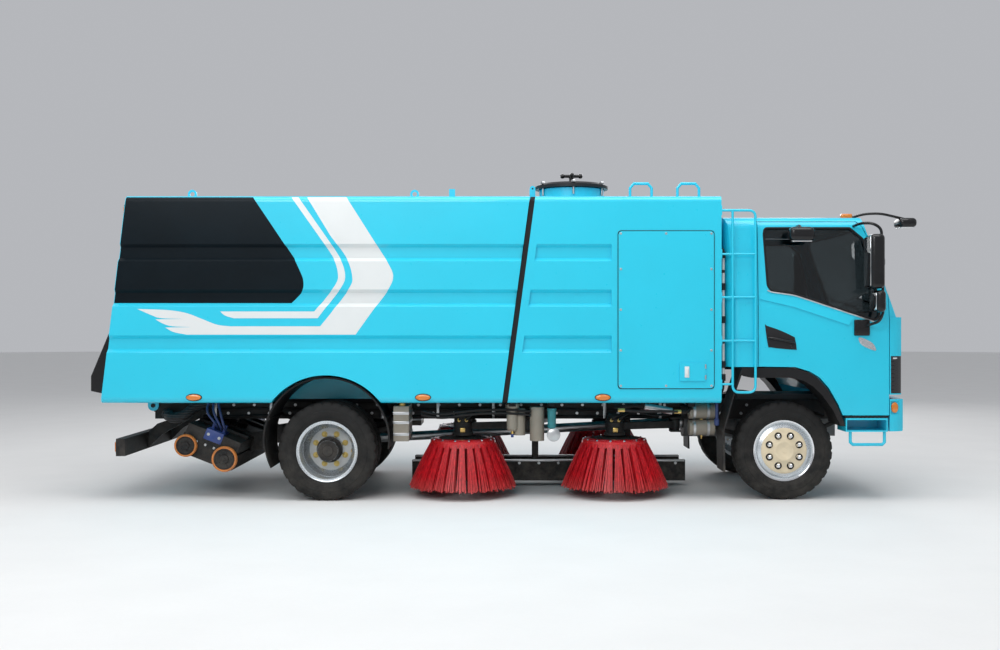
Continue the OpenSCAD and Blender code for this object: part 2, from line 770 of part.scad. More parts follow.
// Elbow of the suction duct under the waste tank's inlet
module suction_hose() color(black) from_rear_axle() {
    translate([suction_port_x, 0, floor_z - 17]) cylinder(r = suction_port_r + 30, h = 12);
    translate([suction_port_x, 0, floor_z - 60]) cylinder(r = suction_port_r, h = 45);
    bar([suction_port_x - 26, 0, floor_z - 73], [suction_port_x - 60, 0, 705], suction_port_r - 14);
    both_sides() span([suction_port_x - 130, suction_port_x - 100], [60, rail_inner_y],
                      [floor_z - 30, floor_z - 14]);
}

// ---------- brushes ----------

brush_top_z = 510;
arm_low_z = 560;
arm_top_z = 650;

module at_brush_pivot(x, side)
    from_rear_axle() on_side(side) translate([x + arm_reach, brush_pivot_y, 0]) children();

module brush_brackets() color(black)
    for (x = [rear_brush_x, front_brush_x], side = [-1, 1]) at_brush_pivot(x, side) {
        back = rail_outer_y - brush_pivot_y;
        span([-45, 45], [back, 45], [arm_top_z + 6, arm_top_z + 20]);
        span([-45, 45], [back, 45], [arm_low_z - 20, arm_low_z - 6]);
        span([-45, 45], [back, back + 12], [arm_low_z - 20, arm_top_z + 20]);
        translate([0, 0, arm_low_z - 10]) cylinder(r = brush_pin_r, h = arm_top_z - arm_low_z + 20);
    }

module brush_arm(x, side) color(black) at_brush_pivot(x, side) {
    out = brush_y - brush_pivot_y;
    difference() {
        union() {
            translate([0, 0, arm_low_z]) cylinder(r = 42, h = arm_top_z - arm_low_z);
            translate([0, 0, arm_low_z + 15])
                rotate([0, 0, atan2(out, -arm_reach)])
                    translate([0, -32, 0]) cube([norm([out, arm_reach]), 64, 60]);
            translate([-arm_reach, out, brush_top_z + 12]) cylinder(r = 78, h = 150);
        }
        translate([0, 0, arm_low_z - 1])
            cylinder(r = brush_pin_r + shaft_clearance, h = arm_top_z - arm_low_z + 2);
        translate([-arm_reach, out, brush_top_z])
            cylinder(r = brush_pin_r + shaft_clearance, h = 142);
    }
}
module arm_rear_right() brush_arm(rear_brush_x, -1);
module arm_rear_left() brush_arm(rear_brush_x, 1);
module arm_front_right() brush_arm(front_brush_x, -1);
module arm_front_left() brush_arm(front_brush_x, 1);

module brush(x, side) color(red) from_rear_axle() on_side(side) translate([x, brush_y, 0]) {
    translate([0, 0, brush_top_z - 40]) cylinder(r = brush_plate_r, h = 40);
    translate([0, 0, brush_top_z - 1]) cylinder(r = brush_pin_r, h = 135);
    rotate_extrude($fn = 96) polygon([
        [brush_plate_r, brush_top_z - 39], [brush_plate_r + 10, 400], [brush_tip_r, brush_low_z],
        [brush_tip_r - 130, brush_low_z], [brush_plate_r - 110, 400],
        [brush_plate_r - 110, brush_top_z - 39]
    ]);
}
module brush_rear_right() brush(rear_brush_x, -1);
module brush_rear_left() brush(rear_brush_x, 1);
module brush_front_right() brush(front_brush_x, -1);
module brush_front_left() brush(front_brush_x, 1);

// ---------- suction nozzle ----------

// The nozzle is drawn at work on the ground, then lifted about its hinge
nozzle_lift = 21.5;
nozzle_x = [-1180, -700];
nozzle_half = 900;
nozzle_wheel_rear = [-1128, 104];
nozzle_wheel_front = [-775, 118];
nozzle_axle_r = 12;

module lifted() from_rear_axle()
    translate(nozzle_hinge) rotate([0, nozzle_lift, 0]) translate(-nozzle_hinge) children();

module suction_nozzle() color(black) lifted() {
    difference() {
        span(nozzle_x, [-nozzle_half, nozzle_half], [60, 290]);
        span([nozzle_x[0] + 10, nozzle_x[1] - 10], [-nozzle_half + 10, nozzle_half - 10], [50, 280]);
        translate([-960, 0, 270]) cylinder(r = 100, h = 30);
        for (w = [nozzle_wheel_rear, nozzle_wheel_front])
            cross_bar(w[0], w[1], nozzle_axle_r + shaft_clearance, -nozzle_half - 1, nozzle_half + 1);
    }
    translate([-960, 0, 285]) difference() {
        cylinder(r = 108, h = 40);
        translate([0, 0, -1]) cylinder(r = 100, h = 42);
    }
    both_sides() difference() {
        across(rail_inner_y - 60, rail_inner_y - 30) polygon([
            [nozzle_hinge[0] - 25, nozzle_hinge[2] + 30], [nozzle_hinge[0] + 30, nozzle_hinge[2] + 30],
            [nozzle_hinge[0] + 30, nozzle_hinge[2] - 30], [-690, 150], [-770, 285], [-770, 300]
        ]);
        cross_bar(nozzle_hinge[0], nozzle_hinge[2], nozzle_hinge_r + shaft_clearance,
                  rail_inner_y - 61, rail_inner_y - 29);
    }
}

// Two wheels on one axle through the nozzle's end plates
module nozzle_wheels(place, r) lifted() {
    cross_bar(place[0], place[1], nozzle_axle_r, -nozzle_half - 60, nozzle_half + 60);
    both_sides() cross_bar(place[0], place[1], r, nozzle_half + 12, nozzle_half + 62);
}
module nozzle_front_wheels() color([0.80, 0.42, 0.14]) nozzle_wheels(nozzle_wheel_front, 111);
module nozzle_rear_wheels() color([0.80, 0.42, 0.14]) nozzle_wheels(nozzle_wheel_rear, 98);

// ---------- tipping cylinders ----------

lift_vector = lift_anchor - lift_foot;
lift_length = norm(lift_vector);
barrel_r = 42;
barrel_length = 900;
lift_rod_r = 26;

// Draws along the cylinder from its foot towards its rod eye
module along_lift()
    from_rear_axle() both_sides() translate([lift_foot[0], lift_y, lift_foot[2]])
        rotate([0, 90 - atan2(lift_vector[2], lift_vector[0]), 0]) children();

module tip_barrels() color(black) along_lift()
    difference() {
        union() {
            translate([0, 0, 30]) cylinder(r = barrel_r, h = barrel_length - 30);
            translate([0, 25, 0]) rotate([90, 0, 0]) cylinder(r = 40, h = 50);
        }
        translate([0, 0, 60]) cylinder(r = lift_rod_r + shaft_clearance, h = barrel_length);
        translate([0, 26, 0]) rotate([90, 0, 0]) cylinder(r = 18 + shaft_clearance, h = 52);
    }

module tip_rods() color(steel) along_lift() {
    translate([0, 0, 70]) cylinder(r = lift_rod_r, h = lift_length - 90);
    translate([0, 0, lift_length]) rotate([90, 0, 0]) cylinder(r = 32, h = 60, center = true);
}

// ---------- cab ----------

cab_wall = 60;
cab_rear = -522;
cab_front = 1045;
cab_front_r = 180;
cab_rear_r = 130;
cab_low_z = 905;
cab_side_z = 1140;
screen_z = 1560;
screen_x = 1006;
screen_lean = 19.2;
hinge_x = 865;
door_low_z = 731;

// Cross-section of the cab: upright sides that lean in above the belt
module cab_section(inset) {
    h = half_cab - inset;
    corner = 110;
    top = cab_top_z - inset;
    polygon([
        [-h, 560], [h, 560], [h, 1650], [h - 42, top - corner], [-h + 42, top - corner], [-h, 1650]
    ]);
    for (s = [-1, 1]) translate([s * (h - 42 - corner), top - corner]) circle(r = corner);
    translate([-h + 42 + corner, top - corner - 1]) square([2 * (h - 42 - corner), corner + 1]);
}

// Outer form of the cab without its underside
module cab_envelope(inset)
    intersection() {
        union() {
            translate([0, 0, 500]) linear_extrude(screen_z - 499)
                plan_outline(inset, cab_rear, cab_front, cab_front_r - inset / 2, cab_rear_r - inset);
            intersection() {
                translate([0, 0, screen_z]) linear_extrude(1200)
                    plan_outline(inset, cab_rear, cab_front + 400, 20, cab_rear_r - inset);
                translate([screen_x, 0, screen_z]) rotate([0, -screen_lean, 0])
                    translate([-screen_x, 0, -60]) linear_extrude(1400)
                        plan_outline(inset, cab_rear - 1500, screen_x, cab_front_r - inset / 2, 50);
            }
        }
        along(-2000, 2500) cab_section(inset);
        across(-half_cab, half_cab) polygon([
            [cab_rear - 1, 500], [cab_front - inset, 500], [cab_front - inset, 1300],
            [cab_front - 10 - inset, 1420], [screen_x - inset, screen_z],
            [930 - inset, 1780], [840 - inset, 2030], [711 - inset, 2380], [640 - inset, 2420],
            [cab_rear - 1, 2420]
        ]);
    }

// Outline of the underside, moved up by lift
module cab_under(lift) polygon([
    [-700, cab_side_z + lift], [63, cab_side_z + lift], [186, 1102 + lift], [268, 1052 + lift],
    [350, 960 + lift], [390, cab_low_z + lift], [1300, cab_low_z + lift], [1300, 3000],
    [-700, 3000]
]);

// Door outline; grow widens it by the door gap
module door_outline(grow) polygon(concat(
    [[-240 - grow, 2371 + grow], [-240 - grow, cab_side_z + 3 - grow]],
    [for (i = [1 : 6]) arch_line[i] + [9 - grow, 9 - grow]],
    [
        [490 - grow, door_low_z - grow], [hinge_x + grow, door_low_z - grow],
        [hinge_x + grow, 1760], [700 + grow, 2215], [645 + grow, 2330], [600 + grow, 2371 + grow]
    ]
));

module door_trim()
    difference() {
        door_outline(0);
        translate([-700, 0]) square([3000, door_low_z]);
    }

module window_outline(inset) polygon([
    [-189 + inset, 2276 - inset], [-178 + inset, 2318 - inset], [543, 2318 - inset],
    [657 - inset, 2222 - inset], [790 - inset, 1650], [780 - inset, 1560 + inset],
    [748, 1533 + inset], [63, 1760 + inset], [-131 + inset, 1787 + inset], [-161 + inset, 1828]
]);

screen_opening_z = [1610, 2330];
screen_opening_y = 880;

module screen_opening(grow)
    along(500, 1300) translate([0, (screen_opening_z[0] + screen_opening_z[1]) / 2])
        round_rect(2 * (screen_opening_y + grow), screen_opening_z[1] - screen_opening_z[0] + 2 * grow,
                   70);

module rear_window_opening()
    along(cab_rear - 10, cab_rear + 100) translate([0, 2000]) round_rect(1200, 420, 60);

lamp_box_x = [880, 1060];
lamp_box_y = 770;
lamp_box_z = [915, 1232];

module cab_shell() color(sky) from_front_axle() {
    difference() {
        intersection() {
            cab_envelope(0);
            across(-half_cab, half_cab) cab_under(0);
        }
        intersection() {
            cab_envelope(cab_wall);
            across(-half_cab, half_cab) cab_under(50);
        }
        difference() {
            across(-half_cab - 1, half_cab + 1) door_outline(door_gap);
            intersection() {
                cab_envelope(cab_wall + door_gap);
                across(-half_cab, half_cab) cab_under(-600);
            }
        }
        screen_opening(0);
        rear_window_opening();
        both_sides() span(lamp_box_x, [lamp_box_y, half_cab + 1], lamp_box_z);
    }
    // lugs round the tilt pivot
    both_sides() difference() {
        span([cab_pivot[0] - 18, cab_pivot[0] + 4], [330, 360], [cab_pivot[2] - 4, cab_low_z + 1]);
        cross_bar(cab_pivot[0], cab_pivot[2], cab_pivot_r + shaft_clearance, 329, 361);
    }
}

module cab_glass() color([0.10, 0.14, 0.16]) from_front_axle() {
    intersection() {
        difference() {
            cab_envelope(14);
            cab_envelope(24);
        }
        screen_opening(0);
    }
    intersection() {
        span([cab_rear + 20, cab_rear + 28], [-700, 700], [1700, 2300]);
        rear_window_opening();
    }
}

seat_y = 560;

module seats() color([0.15, 0.15, 0.17]) from_front_axle()
    both_sides() translate([0, seat_y, 0]) {
        span([-120, 250], [-190, 190], [cab_side_z + 50, 1310]);
        span([-170, 340], [-250, 250], [1310, 1430]);
        across(-240, 240) polygon([[-170, 1430], [-30, 1430], [-110, 2010], [-230, 2010]]);
        across(-120, 120) polygon([[-225, 2010], [-125, 2010], [-140, 2200], [-225, 2200]]);
    }

module dashboard() color([0.20, 0.20, 0.22]) from_front_axle() {
    across(-985, 985) polygon([
        [660, 1260], [650, 1420], [740, 1500], [920, 1500], [925, 1240]
    ]);
    span([700, 900], [-160, 160], [cab_low_z + 50, 1300]);
    translate([520, seat_y, 1545]) rotate([0, -62, 0]) {
        rotate_extrude() translate([215, 0]) circle(r = 16);
        for (a = [90, 210, 330]) rotate([0, 0, a]) translate([0, -18, -8]) cube([214, 36, 16]);
        translate([0, 0, -225]) cylinder(r = 30, h = 228);
    }
}

module headlamps() color([0.05, 0.05, 0.06]) from_front_axle()
    translate([0, 0, lamp_box_z[0]]) linear_extrude(lamp_box_z[1] - lamp_box_z[0] - 1)
        intersection() {
            difference() {
                plan_outline(2, cab_rear, cab_front, cab_front_r, cab_rear_r);
                plan_outline(90, cab_rear, cab_front, cab_front_r - 45, 40);
            }
            both_sides() translate([lamp_box_x[0] + 1, lamp_box_y + 1])
                square([300, half_cab - lamp_box_y]);
        }

look_down_x = front_overhang + mirror_reach - 75;

module look_down_mirror() color(black) from_front_axle() mirror([0, 1, 0])
    difference() {
        union() {
            tube([
                [590, 930, cab_top_z], [700, 940, 2450], [840, 950, 2455],
                [look_down_x, 950, 2410]
            ], 11);
            span([look_down_x - 75, look_down_x + 75], [850, 1050], [2322, 2412]);
        }
        cab_envelope(0);
    }

module door(side) color(sky) from_front_axle() on_side(side)
    difference() {
        intersection() {
            across(half_cab - 110, half_cab + 1) door_trim();
            // rounds the rear edge so that it clears the pillar as the door swings
            translate([hinge_x, half_cab, 0]) cylinder(r = hinge_x + 244, h = 3000, $fn = 1440);
            difference() {
                cab_envelope(0);
                cab_envelope(cab_wall);
            }
        }
        across(half_cab - 401, half_cab + 2) window_outline(0);
    }
module door_right() door(-1);
module door_left() door(1);

module door_glass(side) color([0.10, 0.14, 0.16]) from_front_axle() on_side(side)
    intersection() {
        across(half_cab - 400, half_cab + 1) window_outline(0);
        difference() {
            cab_envelope(18);
            cab_envelope(24);
        }
    }
module door_glass_right() door_glass(-1);
module door_glass_left() door_glass(1);

module mirrors(side) color(black) from_front_axle() on_side(side)
    difference() {
        union() {
            out = half_cab + 150;
            tube([
                [575, half_cab - 45, 2335], [600, out - 60, 2350], [680, out, 2345], [752, out, 2300],
                [768, out, 1600], [740, out - 10, 1525], [650, half_cab + 4, 1480]
            ], 12);
            span([560, 700], [half_cab, half_cab + 22], [1400, 1545]);
            span([625, 748], [out - 90, out + 130], [1795, 2250]);
            span([670, 758], [out - 90, out + 130], [1598, 1785]);
            if (side < 0) {
                span([70, 120], [half_cab - 45, half_cab + 60], [2318, 2345]);
                span([-10, 205], [half_cab + 20, half_cab + 160], [2190, 2319]);
            }
        }
        cab_envelope(0);
    }
module mirrors_right() mirrors(-1);
module mirrors_left() mirrors(1);

// ---------- one line for each node ----------

chassis_frame();
front_axle();
rear_axle();
leaf_springs();
engine();
propshaft();
water_tank();
access_panels();
tank_seal();
ladder();
bumper();
steps();
mudguards();
underrun_bar();
brush_brackets();
centre_skirt();
underfloor_units();
suction_hose();
waste_tank();
rear_door();
hatch_lid();
cab_shell();
cab_glass();
seats();
dashboard();
headlamps();
look_down_mirror();
door_right();
door_left();
door_glass_right();
door_glass_left();
mirrors_right();
mirrors_left();
knuckle_right();
knuckle_left();
front_rim_right();
front_rim_left();
front_tyre_right();
front_tyre_left();
rear_rims_right();
rear_rims_left();
rear_tyres_right();
rear_tyres_left();
arm_rear_right();
arm_rear_left();
arm_front_right();
arm_front_left();
brush_rear_right();
brush_rear_left();
brush_front_right();
brush_front_left();
suction_nozzle();
nozzle_front_wheels();
nozzle_rear_wheels();
tip_barrels();
tip_rods();
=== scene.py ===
"""Looks of the street sweeper truck: materials for the CAD nodes, and the pieces
that replace or dress them. Metres, X forward, Y left, Z up."""

import math
import random

import bmesh
import bpy
from mathutils import Matrix, Vector
from mathutils.geometry import tessellate_polygon


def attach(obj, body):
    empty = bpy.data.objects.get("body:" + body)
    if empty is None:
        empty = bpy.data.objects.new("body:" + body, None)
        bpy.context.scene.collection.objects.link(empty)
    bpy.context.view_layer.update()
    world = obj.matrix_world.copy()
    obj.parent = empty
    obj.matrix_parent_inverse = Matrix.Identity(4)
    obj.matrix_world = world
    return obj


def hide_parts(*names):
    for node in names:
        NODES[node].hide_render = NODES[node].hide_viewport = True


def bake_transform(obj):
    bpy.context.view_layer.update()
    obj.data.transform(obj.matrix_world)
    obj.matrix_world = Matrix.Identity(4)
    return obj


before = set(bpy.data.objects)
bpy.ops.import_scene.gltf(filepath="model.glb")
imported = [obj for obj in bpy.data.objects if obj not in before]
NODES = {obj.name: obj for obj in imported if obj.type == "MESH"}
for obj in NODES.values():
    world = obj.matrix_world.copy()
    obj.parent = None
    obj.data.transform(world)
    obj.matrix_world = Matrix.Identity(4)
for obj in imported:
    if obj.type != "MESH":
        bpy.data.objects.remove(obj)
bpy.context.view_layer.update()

# ---------- sizes shared with the CAD ----------

REAR_AXLE = -1.515
FRONT_AXLE = 2.385
FLOOR, ROOF = 0.835, 2.585
HALF_BODY, HALF_CAB = 1.15, 1.11
EDGE_R = 0.05
WHEEL_Z = 0.4195
RIM_R = 0.2475
TYRE_W = 0.245
RIM_W = 0.19
MARKER_Z = 0.884
PANEL_MIDDLE = (FRONT_AXLE - 1.029, 1.624)
SIDES = {"right": -1, "left": 1}


def tank_rear(z):
    return REAR_AXLE - 1.897 + 0.212 * (z - FLOOR) / (ROOF - FLOOR)


# ---------- node trees ----------


class Tree:
    """Short names for building a material's nodes."""

    def __init__(self, name):
        self.material = bpy.data.materials.new(name)
        self.material.use_nodes = True
        self.nodes = self.material.node_tree.nodes
        self.links = self.material.node_tree.links
        self.shader = self.nodes["Principled BSDF"]
        self.place = self.add("TexCoord").outputs["Object"]

    def add(self, kind, **settings):
        node = self.nodes.new("ShaderNode" + kind)
        for key, value in settings.items():
            setattr(node, key, value)
        return node

    def put(self, socket, value):
        if isinstance(value, bpy.types.NodeSocket):
            self.links.new(value, socket)
        else:
            socket.default_value = value

    def math(self, operation, a, b=0.0):
        node = self.add("Math", operation=operation)
        self.put(node.inputs[0], a)
        self.put(node.inputs[1], b)
        return node.outputs[0]

    def noise(self, scale, detail=4.0, stretch=(1, 1, 1), rough=0.55):
        mapping = self.add("Mapping")
        self.put(mapping.inputs["Vector"], self.place)
        mapping.inputs["Scale"].default_value = stretch
        node = self.add("TexNoise")
        self.put(node.inputs["Vector"], mapping.outputs[0])
        node.inputs["Scale"].default_value = scale
        node.inputs["Detail"].default_value = detail
        node.inputs["Roughness"].default_value = rough
        return node.outputs["Fac"]

    def ramp(self, value, low, high, out_low=0.0, out_high=1.0):
        node = self.add("MapRange")
        self.put(node.inputs["Value"], value)
        for key, number in (("From Min", low), ("From Max", high), ("To Min", out_low),
                            ("To Max", out_high)):
            node.inputs[key].default_value = number
        return node.outputs[0]

    def mix(self, factor, a, b):
        node = self.add("Mix", data_type="RGBA")
        self.put(node.inputs["Factor"], factor)
        self.put(node.inputs["A"], a)
        self.put(node.inputs["B"], b)
        return node.outputs["Result"]

    def height(self):
        split = self.add("SeparateXYZ")
        self.put(split.inputs[0], self.place)
        return split.outputs["Z"]

    def bump(self, height, distance, strength=1.0):
        node = self.add("Bump")
        self.put(node.inputs["Height"], height)
        node.inputs["Distance"].default_value = distance
        node.inputs["Strength"].default_value = strength
        self.put(self.shader.inputs["Normal"], node.outputs[0])


DUST = (0.27, 0.24, 0.20, 1)


def finish_of(name, colour, roughness, metallic=0.0, coat=0.0, shade=0.82, patch=5.0,
              grain=0.0, grain_scale=400.0, dust=0.0, dust_top=0.9, scuff=0.0, gleam=0.5):
    """A worn, slightly uneven surface. shade is the darkest share of its colour, grain
    the depth of its fine bump in metres, dust the cover of road dust below dust_top,
    gleam the strength of its plain reflection."""
    tree = Tree(name)
    colour = (*colour, 1)
    dark = tuple(c * shade for c in colour[:3]) + (1,)
    cloud = tree.noise(patch, 5)
    tone = tree.mix(tree.ramp(cloud, 0.32, 0.68), dark, colour)
    speck = tree.noise(patch * 22, 3, rough=0.7)
    rough = tree.ramp(speck, 0.3, 0.75, roughness * 0.85, min(roughness * 1.25, 1))
    if scuff:
        lines = tree.noise(30, 3, stretch=(1, 1, 14), rough=0.8)
        worn = tree.ramp(lines, 0.66, 0.72, 0, scuff)
        tone = tree.mix(worn, tone, tuple(min(c * 1.8 + 0.06, 1) for c in colour[:3]) + (1,))
    if dust:
        low = tree.ramp(tree.height(), 0.1, dust_top, 1, 0)
        settle = tree.math("MULTIPLY", low, tree.ramp(tree.noise(9, 6, rough=0.7), 0.35, 0.7))
        cover = tree.math("MULTIPLY", settle, dust)
        tone = tree.mix(cover, tone, DUST)
        rough = tree.math("ADD", rough, tree.math("MULTIPLY", cover, 0.5))
    tree.put(tree.shader.inputs["Base Color"], tone)
    tree.put(tree.shader.inputs["Roughness"], rough)
    tree.shader.inputs["Metallic"].default_value = metallic
    tree.shader.inputs["Coat Weight"].default_value = coat
    tree.shader.inputs["Coat Roughness"].default_value = 0.04
    tree.shader.inputs["Specular IOR Level"].default_value = gleam
    if grain:
        tree.bump(tree.noise(grain_scale, 2), grain)
    return tree.material


def lens(name, colour, strength=0.9, roughness=0.08):
    """Moulded lamp plastic with the fine ribs of its reflector behind it, bumped in and painted
    darker in the rib grooves as painted shade.
    """
    tree = Tree(name)
    ribs = tree.add("TexWave", bands_direction="X")
    tree.put(ribs.inputs["Vector"], tree.place)
    ribs.inputs["Scale"].default_value = 55
    # painted shade: the colour falls to 0.6 of itself in the grooves of the ribs, which the same
    # wave bumps in
    tone = tree.mix(tree.ramp(ribs.outputs["Fac"], 0, 1), tuple(c * 0.6 for c in colour) + (1,),
                    (*colour, 1))
    tree.put(tree.shader.inputs["Base Color"], tone)
    tree.shader.inputs["Roughness"].default_value = roughness
    tree.shader.inputs["Transmission Weight"].default_value = 1 - strength
    tree.shader.inputs["Coat Weight"].default_value = 1
    tree.bump(ribs.outputs["Fac"], 0.0006)
    return tree.material


def glass(name, colour):
    tree = Tree(name)
    smear = tree.noise(3, 6, stretch=(1, 1, 2))
    tree.put(tree.shader.inputs["Base Color"],
             tree.mix(smear, tuple(c * 0.85 for c in colour) + (1,), (*colour, 1)))
    tree.put(tree.shader.inputs["Roughness"], tree.ramp(smear, 0.45, 0.8, 0.0, 0.05))
    tree.shader.inputs["Transmission Weight"].default_value = 1
    tree.shader.inputs["IOR"].default_value = 1.45
    return tree.material


def cloth(name, colour, thread):
    """A woven seat fabric: two crossed sets of threads over a mottled colour, painted darker
    between the threads as painted shade.
    """
    tree = Tree(name)
    waves = []
    for direction in ("X", "Z"):
        wave = tree.add("TexWave", bands_direction=direction)
        tree.put(wave.inputs["Vector"], tree.place)
        wave.inputs["Scale"].default_value = 0.31 / thread
        waves.append(wave.outputs["Fac"])
    weave_and_painted_shade = tree.math("MULTIPLY", *waves)
    # painted shade: the colour halves where the threads dip between crossings, following the same
    # weave as the bump
    tone = tree.mix(weave_and_painted_shade, tuple(c * 0.5 for c in colour) + (1,), (*colour, 1))
    tone = tree.mix(tree.ramp(tree.noise(14), 0.4, 0.7, 0, 0.4), tone,
                    tuple(c * 1.7 for c in colour) + (1,))
    tree.put(tree.shader.inputs["Base Color"], tone)
    tree.shader.inputs["Roughness"].default_value = 0.92
    tree.shader.inputs["Sheen Weight"].default_value = 0.4
    tree.bump(weave_and_painted_shade, thread * 0.4)
    return tree.material


def bristle_plastic():
    """Red poly bristle: darker and greyer towards the dusty tips, with light scratches."""
    tree = Tree("red_bristle")
    fleck = tree.noise(70, 3, stretch=(1, 1, 0.2))
    tone = tree.mix(tree.ramp(fleck, 0.3, 0.7), (0.30, 0.004, 0.008, 1), (0.70, 0.012, 0.022, 1))
    tip = tree.ramp(tree.height(), 0.07, 0.2, 0.35, 0)
    tone = tree.mix(tree.math("MULTIPLY", tip, fleck), tone, DUST)
    tree.put(tree.shader.inputs["Base Color"], tone)
    tree.shader.inputs["Roughness"].default_value = 0.42
    tree.bump(fleck, 0.0008)
    return tree.material


def ribbed_rubber(name, pitch):
    """A hose with rings moulded along its length, painted darker in the troughs of the rings as
    painted shade and lighter on their crests as painted highlight.
    """
    tree = Tree(name)
    rings = tree.add("TexWave", bands_direction="Z")
    tree.put(rings.inputs["Vector"], tree.place)
    rings.inputs["Scale"].default_value = 0.31 / pitch
    # painted shade in the ring troughs and painted highlight on the crests: the colour follows the
    # same wave as the bump
    tone = tree.mix(rings.outputs["Fac"], (0.006, 0.006, 0.007, 1), (0.028, 0.028, 0.030, 1))
    tree.put(tree.shader.inputs["Base Color"], tone)
    tree.put(tree.shader.inputs["Roughness"], tree.ramp(tree.noise(40), 0.3, 0.7, 0.45, 0.7))
    tree.bump(rings.outputs["Fac"], 0.004)
    return tree.material


LOOK = {
    "sky": finish_of("sky_paint", (0.012, 0.56, 0.76), 0.32, coat=0.35, shade=0.95, patch=1.3,
                     grain=0.00008, grain_scale=60, dust=0.12, dust_top=1.0),
    "white": finish_of("white_vinyl", (0.70, 0.73, 0.73), 0.35, coat=0.1, shade=0.97),
    "ink": finish_of("black_vinyl", (0.003, 0.008, 0.012), 0.34, shade=0.7, patch=2, gleam=0.12),
    "chassis": finish_of("chassis_paint", (0.010, 0.010, 0.011), 0.5, grain=0.0004, dust=0.3,
                         gleam=0.25),
    "plastic": finish_of("black_plastic", (0.016, 0.016, 0.018), 0.42, grain=0.0003,
                         grain_scale=900, dust=0.15, gleam=0.3),
    "gloss": finish_of("gloss_plastic", (0.008, 0.008, 0.009), 0.22, coat=0.25, gleam=0.3),
    "lamp": finish_of("lamp_plastic", (0.008, 0.008, 0.010), 0.2, coat=0.9, grain=0.0002),
    "rubber": finish_of("black_rubber", (0.012, 0.012, 0.013), 0.7, grain=0.0005, dust=0.2,
                        gleam=0.25),
    "tyre": finish_of("tyre_rubber", (0.012, 0.012, 0.012), 0.66, shade=0.7, patch=9, gleam=0.25,
                      grain=0.0004, grain_scale=250, dust=0.12, dust_top=0.8),
    "wheel_rubber": finish_of("orange_rubber", (0.62, 0.20, 0.035), 0.55, shade=0.6, patch=14,
                              dust=0.3, dust_top=0.6),
    "steel": finish_of("bare_steel", (0.60, 0.61, 0.62), 0.33, 1.0, scuff=0.4, patch=12, dust=0.15),
    "zinc": finish_of("yellow_zinc", (0.62, 0.47, 0.16), 0.38, 0.9, patch=30),
    "brass": finish_of("brass", (0.72, 0.50, 0.17), 0.3, 1.0, patch=25),
    "chrome": finish_of("rod_chrome", (0.80, 0.81, 0.83), 0.08, 1.0, shade=0.95),
    "rim": finish_of("rim_silver", (0.66, 0.70, 0.73), 0.26, 0.85, shade=0.85, patch=7, dust=0.12),
    "cream": finish_of("cream_paint", (0.74, 0.63, 0.44), 0.42, shade=0.88, patch=16, dust=0.1),
    "pale": finish_of("pale_disc", (0.60, 0.61, 0.60), 0.45, 0.1, shade=0.85, patch=18, dust=0.12),
    "iron": finish_of("engine_iron", (0.16, 0.165, 0.17), 0.5, 0.6, grain=0.0008, dust=0.4),
    "unit": finish_of("unit_paint", (0.30, 0.27, 0.22), 0.5, 0.2, grain=0.0004, dust=0.4),
    "teal": finish_of("teal_canister", (0.02, 0.22, 0.25), 0.4, patch=20, dust=0.2),
    "blue": finish_of("blue_paint", (0.012, 0.045, 0.22), 0.4, patch=12, dust=0.3, grain=0.0003),
    "hose_blue": finish_of("blue_hose", (0.010, 0.030, 0.12), 0.45, patch=30, dust=0.25),
    "bellows": ribbed_rubber("duct_bellows", 0.022),
    "bristle": bristle_plastic(),
    "ring": finish_of("brush_ring", (0.62, 0.006, 0.012), 0.25, coat=0.6, dust=0.15),
    "seat": cloth("seat_fabric", (0.035, 0.036, 0.040), 0.004),
    "trim": finish_of("cab_trim", (0.060, 0.061, 0.065), 0.6, grain=0.0004, grain_scale=700),
    "glass": glass("dark_glass", (0.20, 0.24, 0.25)),
    "clear": lens("clear_lens", (0.86, 0.88, 0.90), 0.35),
    "amber": lens("amber_lens", (0.92, 0.26, 0.015)),
    "red_lens": lens("red_lens", (0.62, 0.01, 0.012)),
    "mirror": finish_of("mirror_glass", (0.85, 0.87, 0.88), 0.03, 1.0, shade=0.97),
}

# Finish of each CAD node that stays in view, set as its only material
CAD_LOOKS = {
    "chassis": ["chassis_frame", "front_axle", "rear_axle", "leaf_springs", "mudguards",
                "underrun_bar", "brush_brackets", "tip_barrels", "arm_rear_right",
                "arm_rear_left", "arm_front_right", "arm_front_left", "suction_nozzle",
                "centre_skirt"],
    "sky": ["water_tank", "access_panels", "bumper", "steps", "waste_tank", "cab_shell",
            "door_right", "door_left"],
    "gloss": ["rear_door", "mirrors_right", "mirrors_left", "look_down_mirror"],
    "plastic": ["hatch_lid", "dashboard"],
    "rubber": ["tank_seal"],
    "bellows": ["suction_hose"],
    "lamp": ["headlamps"],
    "iron": ["engine"],
    "steel": ["propshaft", "knuckle_right", "knuckle_left"],
    "chrome": ["tip_rods"],
    "rim": ["front_rim_right", "front_rim_left", "rear_rims_right", "rear_rims_left"],
    "unit": ["underfloor_units"],
    "wheel_rubber": ["nozzle_front_wheels", "nozzle_rear_wheels"],
    "glass": ["cab_glass", "door_glass_right", "door_glass_left"],
    "bristle": ["brush_rear_right", "brush_rear_left", "brush_front_right", "brush_front_left"],
    "seat": ["seats"],
}
for look, names in CAD_LOOKS.items():
    for name in names:
        NODES[name].data.materials.clear()
        NODES[name].data.materials.append(LOOK[look])

# ---------- camera, light and floor ----------

scene = bpy.context.scene
camera = bpy.data.objects.new("camera", bpy.data.cameras.new("camera"))
scene.collection.objects.link(camera)
camera.location = (-0.044, -11.15, 1.495)
camera.rotation_euler = (math.radians(90), 0, 0)
camera.data.lens = 42.7
camera.data.sensor_width = 36
scene.camera = camera
scene.view_settings.view_transform = "Standard"

